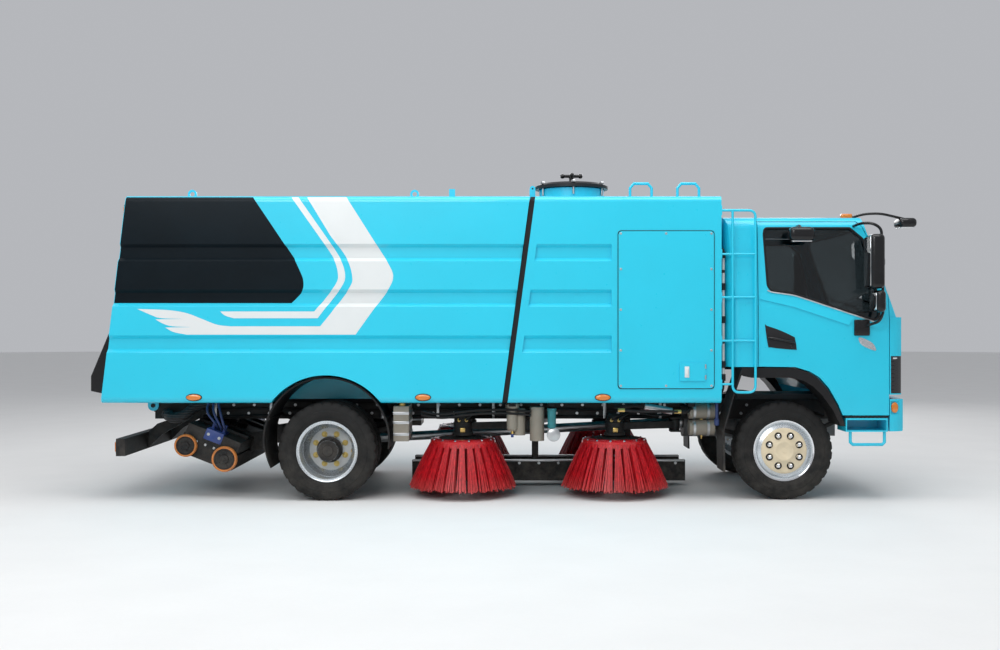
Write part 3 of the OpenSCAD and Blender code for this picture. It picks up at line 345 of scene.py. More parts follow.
world = bpy.data.worlds.new("studio")
world.use_nodes = True
world.node_tree.nodes["Background"].inputs["Color"].default_value = (0.93, 0.95, 1.0, 1)
world.node_tree.nodes["Background"].inputs["Strength"].default_value = 0.5
scene.world = world


def soft_light(name, place, target, size, power):
    light = bpy.data.lights.new(name, "AREA")
    light.shape = "RECTANGLE"
    light.size, light.size_y = size
    light.energy = power
    lamp = bpy.data.objects.new(name, light)
    lamp.location = place
    lamp.rotation_euler = (Vector(target) - Vector(place)).to_track_quat("-Z", "Y").to_euler()
    scene.collection.objects.link(lamp)


soft_light("overhead", (0, -3, 8.5), (0, 0, 1), (11, 6), 620)
soft_light("camera_side", (-3.5, -12, 7), (0, 0, 1.2), (7, 4), 520)
soft_light("far_side", (2, 11, 6), (0, 0, 1.2), (8, 4), 300)


def mesh_object(name, bm, material):
    mesh = bpy.data.meshes.new(name)
    bm.normal_update()
    bm.to_mesh(mesh)
    bm.free()
    mesh.materials.append(material)
    thing = bpy.data.objects.new(name, mesh)
    scene.collection.objects.link(thing)
    return thing


floor_mesh = bmesh.new()
bmesh.ops.create_circle(floor_mesh, cap_ends=True, segments=96, radius=60)
mesh_object("floor", floor_mesh, finish_of(
    "studio_floor", (0.78, 0.78, 0.77), 0.7, shade=0.97, patch=1.5))

# ---------- mesh helpers ----------


def piece(name, bm, look, body, replaces=(), smooth=40):
    """Turns bm into a piece that rides on body. Faces that meet below smooth degrees
    are shaded as one surface."""
    thing = mesh_object(name, bm, LOOK[look])
    if smooth:
        for polygon in thing.data.polygons:
            polygon.use_smooth = True
        thing.data.set_sharp_from_angle(angle=math.radians(smooth))
    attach(thing, body)
    if replaces:
        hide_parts(*replaces)
    return thing


def moved(bm, verts, matrix):
    bmesh.ops.transform(bm, matrix=matrix, verts=verts)
    return verts


def frame_at(place, direction):
    """Matrix that takes Z to direction and the origin to place."""
    return Matrix.Translation(place) @ Vector(direction).to_track_quat("Z",
            "Y").to_matrix().to_4x4()


def box(bm, low, high, bevel=0.006, segments=2):
    """A box with rounded edges between two corners."""
    low, high = Vector(low), Vector(high)
    verts = bmesh.ops.create_cube(bm, size=1)["verts"]
    size = [max(abs(b - a), 1e-4) for a, b in zip(low, high)]
    moved(bm, verts, Matrix.Translation((low + high) / 2) @ Matrix.Diagonal((*size, 1)))
    bevel = min(bevel, min(size) * 0.45)
    edges = {edge for vert in verts for edge in vert.link_edges}
    bmesh.ops.bevel(bm, geom=list(edges), offset=bevel, segments=segments, profile=0.5,
                    affect="EDGES", clamp_overlap=True)


def lathe(bm, profile, place, direction, steps=48, close=True):
    """Turns a profile of (radius, height) points about direction through place."""
    matrix = frame_at(place, direction)
    rings = []
    for radius, height in profile:
        if radius < 1e-5:
            rings.append([bm.verts.new(matrix @ Vector((0, 0, height)))])
            continue
        rings.append([bm.verts.new(matrix @ Vector((radius * math.cos(a), radius * math.sin(a),
                                                    height)))
                      for a in (math.tau * i / steps for i in range(steps))])
    for low, high in zip(rings, rings[1:]):
        for i in range(steps):
            j = (i + 1) % steps
            corners = [low[i % len(low)], low[j % len(low)], high[j % len(high)],
                       high[i % len(high)]]
            corners = [c for k, c in enumerate(corners) if c not in corners[:k]]
            if len(corners) > 2:
                bm.faces.new(corners)
    if close:
        for ring in (rings[0], rings[-1]):
            if len(ring) > 2:
                bm.faces.new(ring)


def rounded_path(points, bend, steps=6):
    """The points with every inner corner turned into an arc-like curve."""
    points = [Vector(p) for p in points]
    path = [points[0]]
    for before, corner, after in zip(points, points[1:], points[2:]):
        reach = min(bend, (corner - before).length * 0.49, (after - corner).length * 0.49)
        a = corner + (before - corner).normalized() * reach
        b = corner + (after - corner).normalized() * reach
        for i in range(steps + 1):
            t = i / steps
            path.append(a * (1 - t) ** 2 + corner * 2 * t * (1 - t) + b * t * t)
    path.append(points[-1])
    return path


def tube(bm, points, radius, bend=0.05, sides=12, squash=1.0, steps=6):
    """A bent tube or hose with closed ends. radius is a number or a function of the
    share of the way along."""
    path = rounded_path(points, bend, steps)
    tangents = [(b - a).normalized() for a, b in zip(path, path[1:])]
    tangents = [tangents[0]] + [(a + b).normalized() for a,
                                b in zip(tangents, tangents[1:])] + [tangents[-1]]
    up = Vector((0, 0, 1)) if abs(tangents[0].z) < 0.9 else Vector((1, 0, 0))
    across = tangents[0].cross(up).normalized()
    rings = []
    for k, (spot, tangent) in enumerate(zip(path, tangents)):
        across = (across - tangent * across.dot(tangent)).normalized()
        other = tangent.cross(across)
        r = radius(k / (len(path) - 1)) if callable(radius) else radius
        flat = other * r * squash
        rings.append([bm.verts.new(spot + across * r * math.cos(a) + flat * math.sin(a))
                      for a in (math.tau * i / sides for i in range(sides))])
    for low, high in zip(rings, rings[1:]):
        for i in range(sides):
            j = (i + 1) % sides
            bm.faces.new([low[i], low[j], high[j], high[i]])
    for ring in (rings[0], rings[-1]):
        bm.faces.new(ring)


def plate(bm, outline, thickness, matrix):
    """A flat outline of (x, y) points, thickened along Z and put in place by matrix."""
    start = [bm.verts.new(matrix @ Vector((x, y, 0))) for x, y in outline]
    end = [bm.verts.new(matrix @ Vector((x, y, thickness))) for x, y in outline]
    bm.faces.new(start[::-1])
    bm.faces.new(end)
    for i in range(len(outline)):
        j = (i + 1) % len(outline)
        bm.faces.new([start[i], start[j], end[j], end[i]])


def bolt(bm, place, direction, size=0.010, washer=True):
    """A hexagon head with a chamfered top on a washer."""
    if washer:
        lathe(bm, [(size * 1.35, 0), (size * 1.35, size * 0.12), (size * 1.2, size * 0.2),
                   (0, size * 0.2)],
              place, direction, 16)
    lathe(bm, [(size, size * 0.1), (size, size * 0.62), (size * 0.86, size * 0.76),
               (0, size * 0.78)],
          place, direction, 6)


def nut_and_stud(bm, place, direction, size):
    bolt(bm, place, direction, size)
    lathe(bm, [(size * 0.5, 0), (size * 0.5, size * 1.35), (size * 0.4, size * 1.5),
               (0, size * 1.5)],
          place, direction, 12)


def smooth_outline(points, steps=8):
    """A closed Catmull-Rom curve through (x, z) points; a point given as (x, z, 0) keeps
    a sharp corner there."""
    out = []
    n = len(points)
    for i in range(n):
        p = [points[(i + k) % n] for k in (-1, 0, 1, 2)]
        a, b, c, d = [Vector(q[:2]) for q in p]
        if len(p[1]) == 3:
            a = b - (c - b)
        if len(p[2]) == 3:
            d = c + (c - b)
        if len(p[1]) == 3 and len(p[2]) == 3:
            out.append(tuple(b))
            continue
        for s in range(steps):
            t = s / steps
            out.append(tuple(0.5 * (2 * b + (c - a) * t + (2 * a - 5 * b + 4 * c - d) * t * t
                                    + (3 * b - a - 3 * c + d) * t ** 3)))
    return out


# ---------- tank graphics ----------

GROOVE_Z = (1.335, 1.722, 2.106)
GROOVE_H, GROOVE_DEPTH = 0.145, 0.028


def skin_y(z):
    """Half width of the waste tank at height z, with its grooves and round roof edge."""
    y = HALF_BODY
    if z > ROOF - EDGE_R:
        y = HALF_BODY - EDGE_R + math.sqrt(max(EDGE_R ** 2 - (z - ROOF + EDGE_R) ** 2, 0))
    for middle in GROOVE_Z:
        inside = GROOVE_H / 2 - abs(z - middle)
        if inside > 0:
            y = HALF_BODY - min(inside, GROOVE_DEPTH)
    return y


SKIN_BREAKS = [m + s * (GROOVE_H / 2 - d) for m in GROOVE_Z for s in (-1, 1) for d in (0,
        GROOVE_DEPTH)]
SKIN_BREAKS += [ROOF - EDGE_R + EDGE_R * math.sin(a * math.pi / 16) for a in range(8)]


def decals(name, outlines, look):
    """Vinyl cut to flat (x, z) outlines and laid on both flanks of the waste tank."""
    for side_name, side in SIDES.items():
        bm = bmesh.new()
        for outline in outlines:
            corners = [Vector((x, 0, z)) for x, z in outline]
            verts = [bm.verts.new(corner) for corner in corners]
            for triangle in tessellate_polygon([[Vector((c.x, c.z, 0)) for c in corners]]):
                bm.faces.new([verts[i] for i in triangle])
        for z in SKIN_BREAKS:
            bmesh.ops.bisect_plane(bm, geom=bm.verts[:] + bm.edges[:] + bm.faces[:],
                                   plane_co=(0, 0, z), plane_no=(0, 0, 1))
        for vert in bm.verts:
            vert.co.y = side * (skin_y(vert.co.z) + 0.0009)
        bm.normal_update()
        for face in bm.faces:
            if face.normal.y * side < 0:
                face.normal_flip()
        piece(f"{name}_{side_name}", bm, look, "waste_tank", smooth=30)


TOP = 2.574
decals("graphic_black", [smooth_outline([
    (tank_rear(1.680) + 0.004, 1.680, 0), (-1.806, 1.680, 0), (-1.760, 1.724), (-1.722, 1.768),
    (-1.703, 1.812), (-1.703, 1.872), (-1.722, 1.930), (-1.779, 2.054, 0), (-2.128, TOP, 0),
    (tank_rear(TOP) + 0.004, TOP, 0)])], "ink")
decals("graphic_thin", [smooth_outline([
    (-1.804, TOP, 0), (-1.530, 2.185, 0), (-1.442, 2.043), (-1.410, 1.920), (-1.430, 1.838),
    (-1.530, 1.705, 0), (-1.610, 1.609, 0), (-2.404, 1.609, 0), (-2.360, 1.574), (-2.290, 1.552, 0),
    (-1.582, 1.552, 0), (-1.478, 1.688, 0), (-1.372, 1.830), (-1.350, 1.920), (-1.385, 2.040),
    (-1.475, 2.188, 0), (-1.745, TOP, 0)])], "white")
decals("graphic_wide", [smooth_outline([
    (-1.672, TOP, 0), (-1.475, 2.250, 0), (-1.340, 2.061), (-1.291, 1.913), (-1.312, 1.812),
    (-1.475, 1.588, 0), (-1.560, 1.484, 0), (-2.320, 1.484, 0), (-2.430, 1.498), (-2.562, 1.548),
    (-2.690, 1.596), (-2.850, 1.621), (-3.102, 1.630, 0), (-2.978, 1.576), (-2.900, 1.553),
    (-2.713, 1.546, 0), (-2.951, 1.543, 0), (-2.877, 1.503), (-2.800, 1.484), (-2.646, 1.477, 0),
    (-2.868, 1.474, 0), (-2.796, 1.436), (-2.686, 1.414, 0), (-1.262, 1.414, 0),
    (-1.120, 1.612, 0), (-0.985, 1.797), (-0.945, 1.910), (-0.990, 2.020), (-1.045, 2.108, 0),
    (-1.340, TOP, 0)])], "white")

# ---------- tubes that stand for the CAD's bent bars ----------

LADDER_Y = -1.137
ladder = bmesh.new()
tube(ladder, [(FRONT_AXLE - 0.561, LADDER_Y, 2.463), (FRONT_AXLE - 0.272, LADDER_Y, 2.463),
              (FRONT_AXLE - 0.272, LADDER_Y, 0.926), (FRONT_AXLE - 0.465, LADDER_Y, 0.926),
              (FRONT_AXLE - 0.465, LADDER_Y, 2.463)], 0.011, bend=0.06)
for z in (1.362, 1.730, 2.094):
    tube(ladder, [(FRONT_AXLE - 0.561, LADDER_Y, z), (FRONT_AXLE - 0.272, LADDER_Y, z)], 0.0095)
tube(ladder, [(FRONT_AXLE - 0.561, LADDER_Y, 0.995), (FRONT_AXLE - 0.465, LADDER_Y, 0.995)], 0.0095)
for z in (0.995, 1.362, 1.730, 2.094, 2.463):
    box(ladder, (FRONT_AXLE - 0.562, LADDER_Y - 0.012, z - 0.04),
        (FRONT_AXLE - 0.554, LADDER_Y + 0.02, z + 0.04), 0.003)
piece("ladder_tubes", ladder, "sky", "chassis", ["ladder"])

# ---------- wheels ----------


def tyre(bm, x, y, side, steps=150):
    """A road tyre: ribbed tread with shoulder cuts, a bulged side with moulded rings."""
    r = WHEEL_Z
    half = TYRE_W / 2
    outline = [(RIM_R, -RIM_W / 2), (RIM_R + 0.012, -RIM_W / 2 - 0.003), (RIM_R + 0.02, -0.105),
               (RIM_R + 0.05, -half + 0.006), (RIM_R + 0.052, -half + 0.003),
               (RIM_R + 0.075, -half),
               (RIM_R + 0.095, -half), (RIM_R + 0.099, -half + 0.003), (r - 0.05, -half + 0.002),
               (r - 0.034, -half + 0.007), (r - 0.020, -half + 0.012), (r - 0.009, -half + 0.022)]
    tread = [(r - 0.003, -half + 0.028), (r - 0.002, -0.058), (r - 0.014, -0.056),
             (r - 0.014, -0.047),
             (r - 0.001, -0.045), (r, -0.006), (r - 0.014, -0.004), (r - 0.014, 0.004)]
    half_line = outline + tread
    line = half_line + [(radius, -z) for radius, z in reversed(half_line)]
    matrix = frame_at((x, y, WHEEL_Z), (0, side, 0))
    rings = []
    for radius, height in line:
        shoulder = abs(height) > half - 0.035 and radius > r - 0.036
        rib = radius > r - 0.004 and 0.007 < abs(height) < 0.055
        ring = []
        for i in range(steps):
            a = math.tau * i / steps
            depth = 0.010 if shoulder and i % 5 == 0 else 0.004 if rib and i % 5 == 2 else 0
            ring.append(bm.verts.new(matrix @ Vector(
                ((radius - depth) * math.cos(a), (radius - depth) * math.sin(a), height))))
        rings.append(ring)
    for low, high in zip(rings, rings[1:] + rings[:1]):
        for i in range(steps):
            j = (i + 1) % steps
            bm.faces.new([low[i], low[j], high[j], high[i]])


def ring_of(count, radius, x, y, z, start=0.0):
    """Points on an upright circle that faces sideways."""
    for i in range(count):
        a = math.tau * (i + start) / count
        yield Vector((x + radius * math.sin(a), y, z + radius * math.cos(a)))


for side_name, side in SIDES.items():
    out = (0, side, 0)
    body = f"front_wheel_{side_name}"
    middle = side * 0.895
    bm = bmesh.new()
    tyre(bm, FRONT_AXLE, middle, side)
    piece(f"front_tyre_tread_{side_name}", bm, "tyre", body,
          [f"front_tyre_{side_name}"], smooth=32)
    # domed cover disc, its nuts in dark wells, and the hub cap
    face = middle + side * 0.1125
    bm = bmesh.new()
    lathe(bm, [(0.196, -0.006), (0.190, 0.0), (0.172, 0.003), (0.10, 0.007), (0.098, 0.0085),
               (0.088, 0.0085)],
          (FRONT_AXLE, face, WHEEL_Z), out, 72, close=False)
    piece(f"front_cover_{side_name}", bm, "cream", body)
    bm = bmesh.new()
    lathe(bm, [(0.092, 0.004), (0.092, 0.012), (0.086, 0.0155), (0.074, 0.0165), (0.072, 0.0150),
               (0.02, 0.0160), (0.018, 0.0178), (0, 0.0182)], (FRONT_AXLE, face, WHEEL_Z), out, 48)
    piece(f"front_hub_cap_{side_name}", bm, "cream", body)
    wells, nuts = bmesh.new(), bmesh.new()
    for spot in ring_of(8, 0.1375, FRONT_AXLE, face, WHEEL_Z, 0.5):
        lathe(wells, [(0.031, 0.004), (0.031, 0.009), (0.028, 0.0105), (0.025, 0.006), (0, 0.005)],
              spot, out, 24)
        lathe(nuts, [(0.021, 0.004), (0.021, 0.015), (0.017, 0.022), (0.010, 0.026), (0, 0.027)],
              spot, out, 6)
    piece(f"front_nut_wells_{side_name}", wells, "gloss", body)
    piece(f"front_wheel_nuts_{side_name}", nuts, "chrome", body, smooth=20)
    # chrome trim of the dish and the bead ring
    bm = bmesh.new()
    lathe(bm, [(0.2605, 0.106), (0.262, 0.102), (0.2605, 0.094), (0.252, 0.0935), (0.240, 0.088),
               (0.2355, 0.070), (0.2345, 0.066), (0.2335, 0.070), (0.238, 0.092), (0.250, 0.1045),
               (0.2605, 0.106)], (FRONT_AXLE, middle, WHEEL_Z), out, 96, close=False)
    piece(f"front_rim_edge_{side_name}", bm, "chrome", body)

    body = f"rear_wheels_{side_name}"
    outer = side * 0.9645
    bm = bmesh.new()
    tyre(bm, REAR_AXLE, outer, side)
    tyre(bm, REAR_AXLE, outer - side * 0.28, side)
    piece(f"rear_tyre_treads_{side_name}", bm, "tyre", body,
          [f"rear_tyres_{side_name}"], smooth=32)
    deep = outer - side * 0.126
    bm = bmesh.new()
    lathe(bm, [(0.184, 0.000), (0.183, 0.005), (0.176, 0.008), (0.116, 0.009)],
          (REAR_AXLE, deep, WHEEL_Z), out, 72, close=False)
    piece(f"rear_disc_{side_name}", bm, "pale", body)
    bm = bmesh.new()
    for spot in ring_of(8, 0.1375, REAR_AXLE, deep + side * 0.008, WHEEL_Z, 0.5):
        nut_and_stud(bm, spot, out, 0.019)
    piece(f"rear_wheel_nuts_{side_name}", bm, "zinc", body, smooth=20)
    bm = bmesh.new()
    lathe(bm, [(0.112, 0), (0.110, 0.004), (0.094, 0.008), (0.091, 0.106), (0.086, 0.1145),
               (0.050, 0.1155), (0.044, 0.124), (0.020, 0.126), (0, 0.126)],
          (REAR_AXLE, outer - side * 0.052, WHEEL_Z), out, 48)
    for spot in ring_of(8, 0.070, REAR_AXLE, outer + side * 0.0625, WHEEL_Z):
        bolt(bm, spot, out, 0.007, washer=False)
    piece(f"rear_hub_end_{side_name}", bm, "chassis", body)
    bm = bmesh.new()
    lathe(bm, [(0.2605, 0.106), (0.262, 0.102), (0.2605, 0.094), (0.252, 0.0935), (0.240, 0.088),
               (0.2365, 0.070), (0.2352, 0.010), (0.2335, 0.010), (0.2345, 0.072), (0.238, 0.092),
               (0.250, 0.1045), (0.2605, 0.106)], (REAR_AXLE, outer, WHEEL_Z), out, 96, close=False)
    piece(f"rear_rim_edge_{side_name}", bm, "rim", body)
    # valves of both wheels
    bm = bmesh.new()
    tube(bm, [(REAR_AXLE + 0.19, outer - side * 0.06, WHEEL_Z),
              (REAR_AXLE + 0.20, outer + side * 0.02, WHEEL_Z),
              (REAR_AXLE + 0.205, outer + side * 0.085, WHEEL_Z)], 0.005, sides=10)
    piece(f"rear_valve_{side_name}", bm, "brass", body)

# ---------- brushes ----------

BRUSH_X = {"rear": REAR_AXLE + 1.145, "front": REAR_AXLE + 2.479}
BRUSH_Y = 0.70


def clump(bm, rng, angle, root_r, root_z, tip_r, tip_z, width, count):
    """One flattened tuft: thin square bristles that fan out and bend towards the tip."""
    for k in range(count):
        spread = (k % 7 - 3) / 3
        layer = (k // 7) - (count // 7 - 1) / 2
        root_a = angle + spread * width * 0.30 / root_r
        tip_a = angle + (spread * width * 0.62 + rng.uniform(-0.008, 0.008)) / tip_r
        start = Vector((root_r + layer * 0.008, root_a, root_z))
        end = Vector((tip_r + layer * 0.022 + rng.uniform(-0.010, 0.004), tip_a,
                      tip_z + rng.uniform(0, 0.030)))
        half = 0.0032
        rings = []
        for t in (0, 0.35, 0.7, 1):
            radius = start.x + (end.x - start.x) * (t + 0.16 * t * (1 - t))
            a = start.y + (end.y - start.y) * t
            z = start.z + (end.z - start.z) * t
            middle = Vector((radius * math.cos(a), radius * math.sin(a), z))
            along = Vector((math.cos(a), math.sin(a), 0))
            across = Vector((-math.sin(a), math.cos(a), 0))
            rings.append([bm.verts.new(middle + along * half * p + across * half * q)
                          for p, q in ((-1, -1), (1, -1), (1, 1), (-1, 1))])
        for low, high in zip(rings, rings[1:]):
            for i in range(4):
                bm.faces.new([low[i], low[(i + 1) % 4], high[(i + 1) % 4], high[i]])
        bm.faces.new(rings[-1])


def brush(name, x, y, seed):
    rng = random.Random(seed)
    centre = Matrix.Translation((x, y, 0))
    bm = bmesh.new()
    for i in range(28):
        clump(bm, rng, math.tau * i / 28, 0.268, 0.474, 0.432, 0.070, 0.054, 28)
    for i in range(28):
        clump(bm, rng, math.tau * i / 28, 0.225, 0.472, 0.362, 0.072, 0.040, 14)
    moved(bm, bm.verts, centre)
    piece(f"{name}_bristles", bm, "bristle", name, [name], smooth=30)
    bm = bmesh.new()
    lathe(bm, [(0.17, 0.450), (0.262, 0.450), (0.284, 0.432), (0.2885, 0.436), (0.289, 0.452),
               (0.284, 0.486),
               (0.268, 0.500), (0.235, 0.506), (0.205, 0.500), (0.17, 0.498)], (x, y, 0), (0, 0, 1),
               72)
    piece(f"{name}_ring", bm, "ring", name, smooth=40)
    bm = bmesh.new()
    for i in range(14):
        a = math.tau * i / 14
        bolt(bm, (x + 0.272 * math.cos(a), y + 0.272 * math.sin(a), 0.497),
             (math.cos(a), math.sin(a), 1.4), 0.008)
    piece(f"{name}_ring_screws", bm, "chrome", name, smooth=20)
    bm = bmesh.new()
    lathe(bm, [(0.0, 0.478), (0.21, 0.478), (0.215, 0.490), (0.208, 0.506), (0.12, 0.509),
               (0.05, 0.512), (0.022, 0.522), (0.020, 0.640), (0, 0.640)], (x, y, 0), (0, 0, 1), 48)
    for i in range(8):
        a = math.tau * i / 8
        bolt(bm, (x + 0.15 * math.cos(a), y + 0.15 * math.sin(a), 0.507), (0, 0, 1), 0.010)
    piece(f"{name}_plate", bm, "chassis", name, smooth=30)


for number, (end, side_name) in enumerate([(e, s) for e in BRUSH_X for s in SIDES]):
    brush(f"brush_{end}_{side_name}", BRUSH_X[end], SIDES[side_name] * BRUSH_Y, 11 + number)

# ---------- lamps, plates and small fittings ----------


def oval_lamp(bm, x, y, z, side, half_w=0.062, half_h=0.026, depth=0.022):
    """A domed oval lens standing on a flank."""
    rows = [(1.0, 0.0), (1.0, 0.45), (0.86, 0.8), (0.5, 0.97), (0.0, 1.0)]
    rings = []
    for share, lift in rows:
        count = 1 if share == 0 else 28
        rings.append([bm.verts.new((x + half_w * share * math.cos(math.tau * i / 28),
                                    y + side * depth * lift,
                                    z + half_h * share * math.sin(math.tau * i / 28)))
                      for i in range(count)])
    for low, high in zip(rings, rings[1:]):
        for i in range(28):
            corners = [low[i], low[(i + 1) % 28], high[(i + 1) % len(high)], high[i % len(high)]]
            bm.faces.new([c for k, c in enumerate(corners) if c not in corners[:k]])


for side_name, side in SIDES.items():
    skin = side * HALF_BODY
    for body, places in (("waste_tank", (-2.624, -0.693)), ("chassis", (0.823,))):
        lamps, bases = bmesh.new(), bmesh.new()
        for x in places:
            oval_lamp(lamps, x, skin + side * 0.004, MARKER_Z, side)
            oval_lamp(bases, x, skin, MARKER_Z, side, 0.069, 0.032, 0.008)
            for dx in (-0.052, 0.052):
                bolt(lamps, (x + dx, skin + side * 0.010, MARKER_Z), (0, side, 0), 0.0035,
                     washer=False)
        piece(f"marker_lamps_{body}_{side_name}", lamps, "amber", body)
        piece(f"marker_bases_{body}_{side_name}", bases, "rubber", body)

    # access panel: screws, rubber edge, flap handle
    plane = side * (HALF_BODY + 0.008)
    middle_x, middle_z = PANEL_MIDDLE
    bm = bmesh.new()
    for dx in (-0.382, 0, 0.382):
        for dz in (-0.642, 0.642):
            bolt(bm, (middle_x + dx, plane, middle_z + dz), (0, side, 0), 0.0075)
    for dx in (-0.382, 0.382):
        for dz in (-0.342, 0, 0.342):
            bolt(bm, (middle_x + dx, plane, middle_z + dz), (0, side, 0), 0.0075)
    piece(f"panel_screws_{side_name}", bm, "steel", "chassis", smooth=20)
    bm = bmesh.new()
    w, h, t = 0.404, 0.664, side * (HALF_BODY + 0.003)
    tube(bm, [(middle_x, t, middle_z + h), (middle_x - w, t, middle_z + h),
              (middle_x - w, t, middle_z - h),
              (middle_x + w, t, middle_z - h), (middle_x + w, t, middle_z + h),
              (middle_x, t, middle_z + h)],
         0.0045, bend=0.03, sides=8)
    piece(f"panel_seal_{side_name}", bm, "rubber", "chassis")
    flap_x, flap_z, flap_y = FRONT_AXLE - 0.561 - 0.246, 1.101, side * (HALF_BODY + 0.020)
    bm = bmesh.new()
    box(bm, (flap_x - 0.068, flap_y, flap_z - 0.048),
        (flap_x - 0.030, flap_y + side * 0.006, flap_z + 0.045), 0.003)
    box(bm, (flap_x - 0.060, flap_y + side * 0.005, flap_z - 0.034),
        (flap_x - 0.038, flap_y + side * 0.018, flap_z + 0.030), 0.006, 3)
    piece(f"flap_latch_{side_name}", bm, "white", "chassis")
    bm = bmesh.new()
    for dz in (-0.045, 0.045):
        tube(bm, [(flap_x + 0.108, flap_y + side * 0.002, flap_z + dz - 0.018),
                  (flap_x + 0.108, flap_y + side * 0.002, flap_z + dz + 0.018)], 0.006, sides=10)
    piece(f"flap_hinges_{side_name}", bm, "steel", "chassis")

# vertical water pipe beside the ladder, with its fittings and drain
bm, fit, drain = bmesh.new(), bmesh.new(), bmesh.new()
pipe_x, pipe_y = 1.850, -1.085
tube(bm, [(pipe_x, pipe_y, 2.09), (pipe_x, pipe_y, 1.05)], 0.013)
for z in (2.09, 1.82, 1.54, 1.16, 1.05):
    lathe(fit, [(0.014, -0.03), (0.021, -0.028), (0.021, 0.028), (0.014, 0.03)],
          (pipe_x, pipe_y, z), (0, 0, 1), 8)
for z in (1.95, 1.35):
    box(fit, (1.823, pipe_y - 0.016, z - 0.012), (pipe_x + 0.012, pipe_y + 0.016, z + 0.012), 0.003)
tube(fit, [(pipe_x, pipe_y, 2.09), (pipe_x, pipe_y, 2.13), (1.822, pipe_y, 2.14)], 0.014, bend=0.02)
tube(fit, [(pipe_x, pipe_y, 1.05), (pipe_x, pipe_y, 0.93), (1.80, -1.02, 0.89),
           (1.70, -0.98, 0.86)], 0.011, bend=0.05)
tube(drain, [(1.80, -1.06, 0.93), (1.80, -1.06, 0.66)], 0.014)
lathe(drain, [(0.015, 0), (0.022, 0.004), (0.022, 0.05), (0.015, 0.055)], (1.80, -1.06, 0.64),
      (0, 0, 1), 16)
box(fit, (1.775, -1.08, 0.86), (1.823, -1.04, 0.90), 0.004)
piece("level_pipe", bm, "pale", "chassis")
piece("level_pipe_fittings", fit, "plastic", "chassis")
piece("drain_hose", drain, "hose_blue", "chassis")

# ---------- rear door ----------


slope = Vector((0.212, 0, 1.75)).normalized()
outward = Vector((-slope.z, 0, slope.x))
bm, hinges, latches = bmesh.new(), bmesh.new(), bmesh.new()
for y in (-0.78, -0.39, 0.0, 0.39, 0.78):
    base = Vector((tank_rear(1.53), y, 1.53))
    tip = Vector((tank_rear(2.46), y, 2.46))
    matrix = Matrix.Translation(base) @ Matrix((
        (0, slope.x, outward.x, 0), (1, 0, 0, 0), (0, slope.z, outward.z, 0), (0, 0, 0, 1)))
    plate(bm, [(-0.035, 0), (0.035, 0), (0.035, (tip - base).length),
               (-0.035, (tip - base).length)], 0.012, matrix)
for z in (1.62, 2.02, 2.40):
    tube(bm, [(tank_rear(z) - 0.006, -0.95, z), (tank_rear(z) - 0.006, 0.95, z)], 0.014, sides=10)
for y in (-0.86, 0.86):
    lathe(hinges, [(0.030, -0.075), (0.030, 0.075)], (tank_rear(2.50) - 0.002, y, 2.49), (0, 1, 0),
          20)
    box(hinges, (tank_rear(2.42) - 0.014, y - 0.06, 2.30), (tank_rear(2.40) + 0.02, y + 0.06, 2.48),
        0.006)
    for z in (2.33, 2.38):
        bolt(hinges, (tank_rear(z) - 0.022, y, z), tuple(outward), 0.012)
for y in (-0.95, 0.95):
    box(latches, (REAR_AXLE - 1.935, y - 0.03, 0.85), (REAR_AXLE - 1.860, y + 0.03, 0.93), 0.008)
    tube(latches, [(REAR_AXLE - 1.925, y, 0.90), (REAR_AXLE - 1.965, y, 0.97),
                   (REAR_AXLE - 1.975, y, 1.06)], 0.012)
    bolt(latches, (REAR_AXLE - 1.936, y, 0.89), (-1, 0, 0), 0.014)
piece("rear_door_ribs", bm, "gloss", "rear_door")
piece("rear_door_hinges", hinges, "chassis", "rear_door")
piece("rear_door_latches", latches, "steel", "rear_door")
bm = bmesh.new()
edge = 1.062
for z0, z1 in ((0.885, 1.5), (1.54, 2.49)):
    for y in (-edge, edge):
        tube(bm, [(tank_rear(z0) + 0.018, y, z0), (tank_rear(z1) + 0.018, y, z1)], 0.009, sides=8)
piece("rear_door_gasket", bm, "rubber", "rear_door")
# upper side lamps of the rear door, and lamp clusters with a blank number plate
lamps, cases = bmesh.new(), bmesh.new()
for y in (-1.035, 1.035):
    box(cases, (tank_rear(2.36) - 0.016, y - 0.028, 2.24),
        (tank_rear(2.36) + 0.02, y + 0.028, 2.52), 0.006)
    box(lamps, (tank_rear(2.40) - 0.030, y - 0.022, 2.26),
        (tank_rear(2.40) - 0.004, y + 0.022, 2.50), 0.008, 3)
piece("rear_high_lamps", lamps, "amber", "rear_door")
piece("rear_high_lamp_cases", cases, "plastic", "rear_door")

bar_x = REAR_AXLE - 1.80
cases, red, amber, clear = (bmesh.new() for _ in range(4))
for s in (-1, 1):
    box(cases, (bar_x - 0.010, s * 0.62, 0.395), (bar_x + 0.004, s * 1.03, 0.510), 0.008)
    for group, y0, y1 in ((red, 0.635, 0.765), (clear, 0.775, 0.875), (amber, 0.885, 1.015)):
        box(group, (bar_x - 0.022, s * y0, 0.410), (bar_x - 0.008, s * y1, 0.495), 0.007, 3)
piece("rear_lamp_cases", cases, "plastic", "chassis")
piece("rear_stop_lamps", red, "red_lens", "chassis")
piece("rear_turn_lamps", amber, "amber", "chassis")
piece("rear_reverse_lamps", clear, "clear", "chassis")
bm = bmesh.new()
box(bm, (bar_x - 0.006, -0.24, 0.385), (bar_x + 0.002, 0.24, 0.518), 0.003)
piece("rear_blank_plate", bm, "white", "chassis")

# ---------- roof ----------

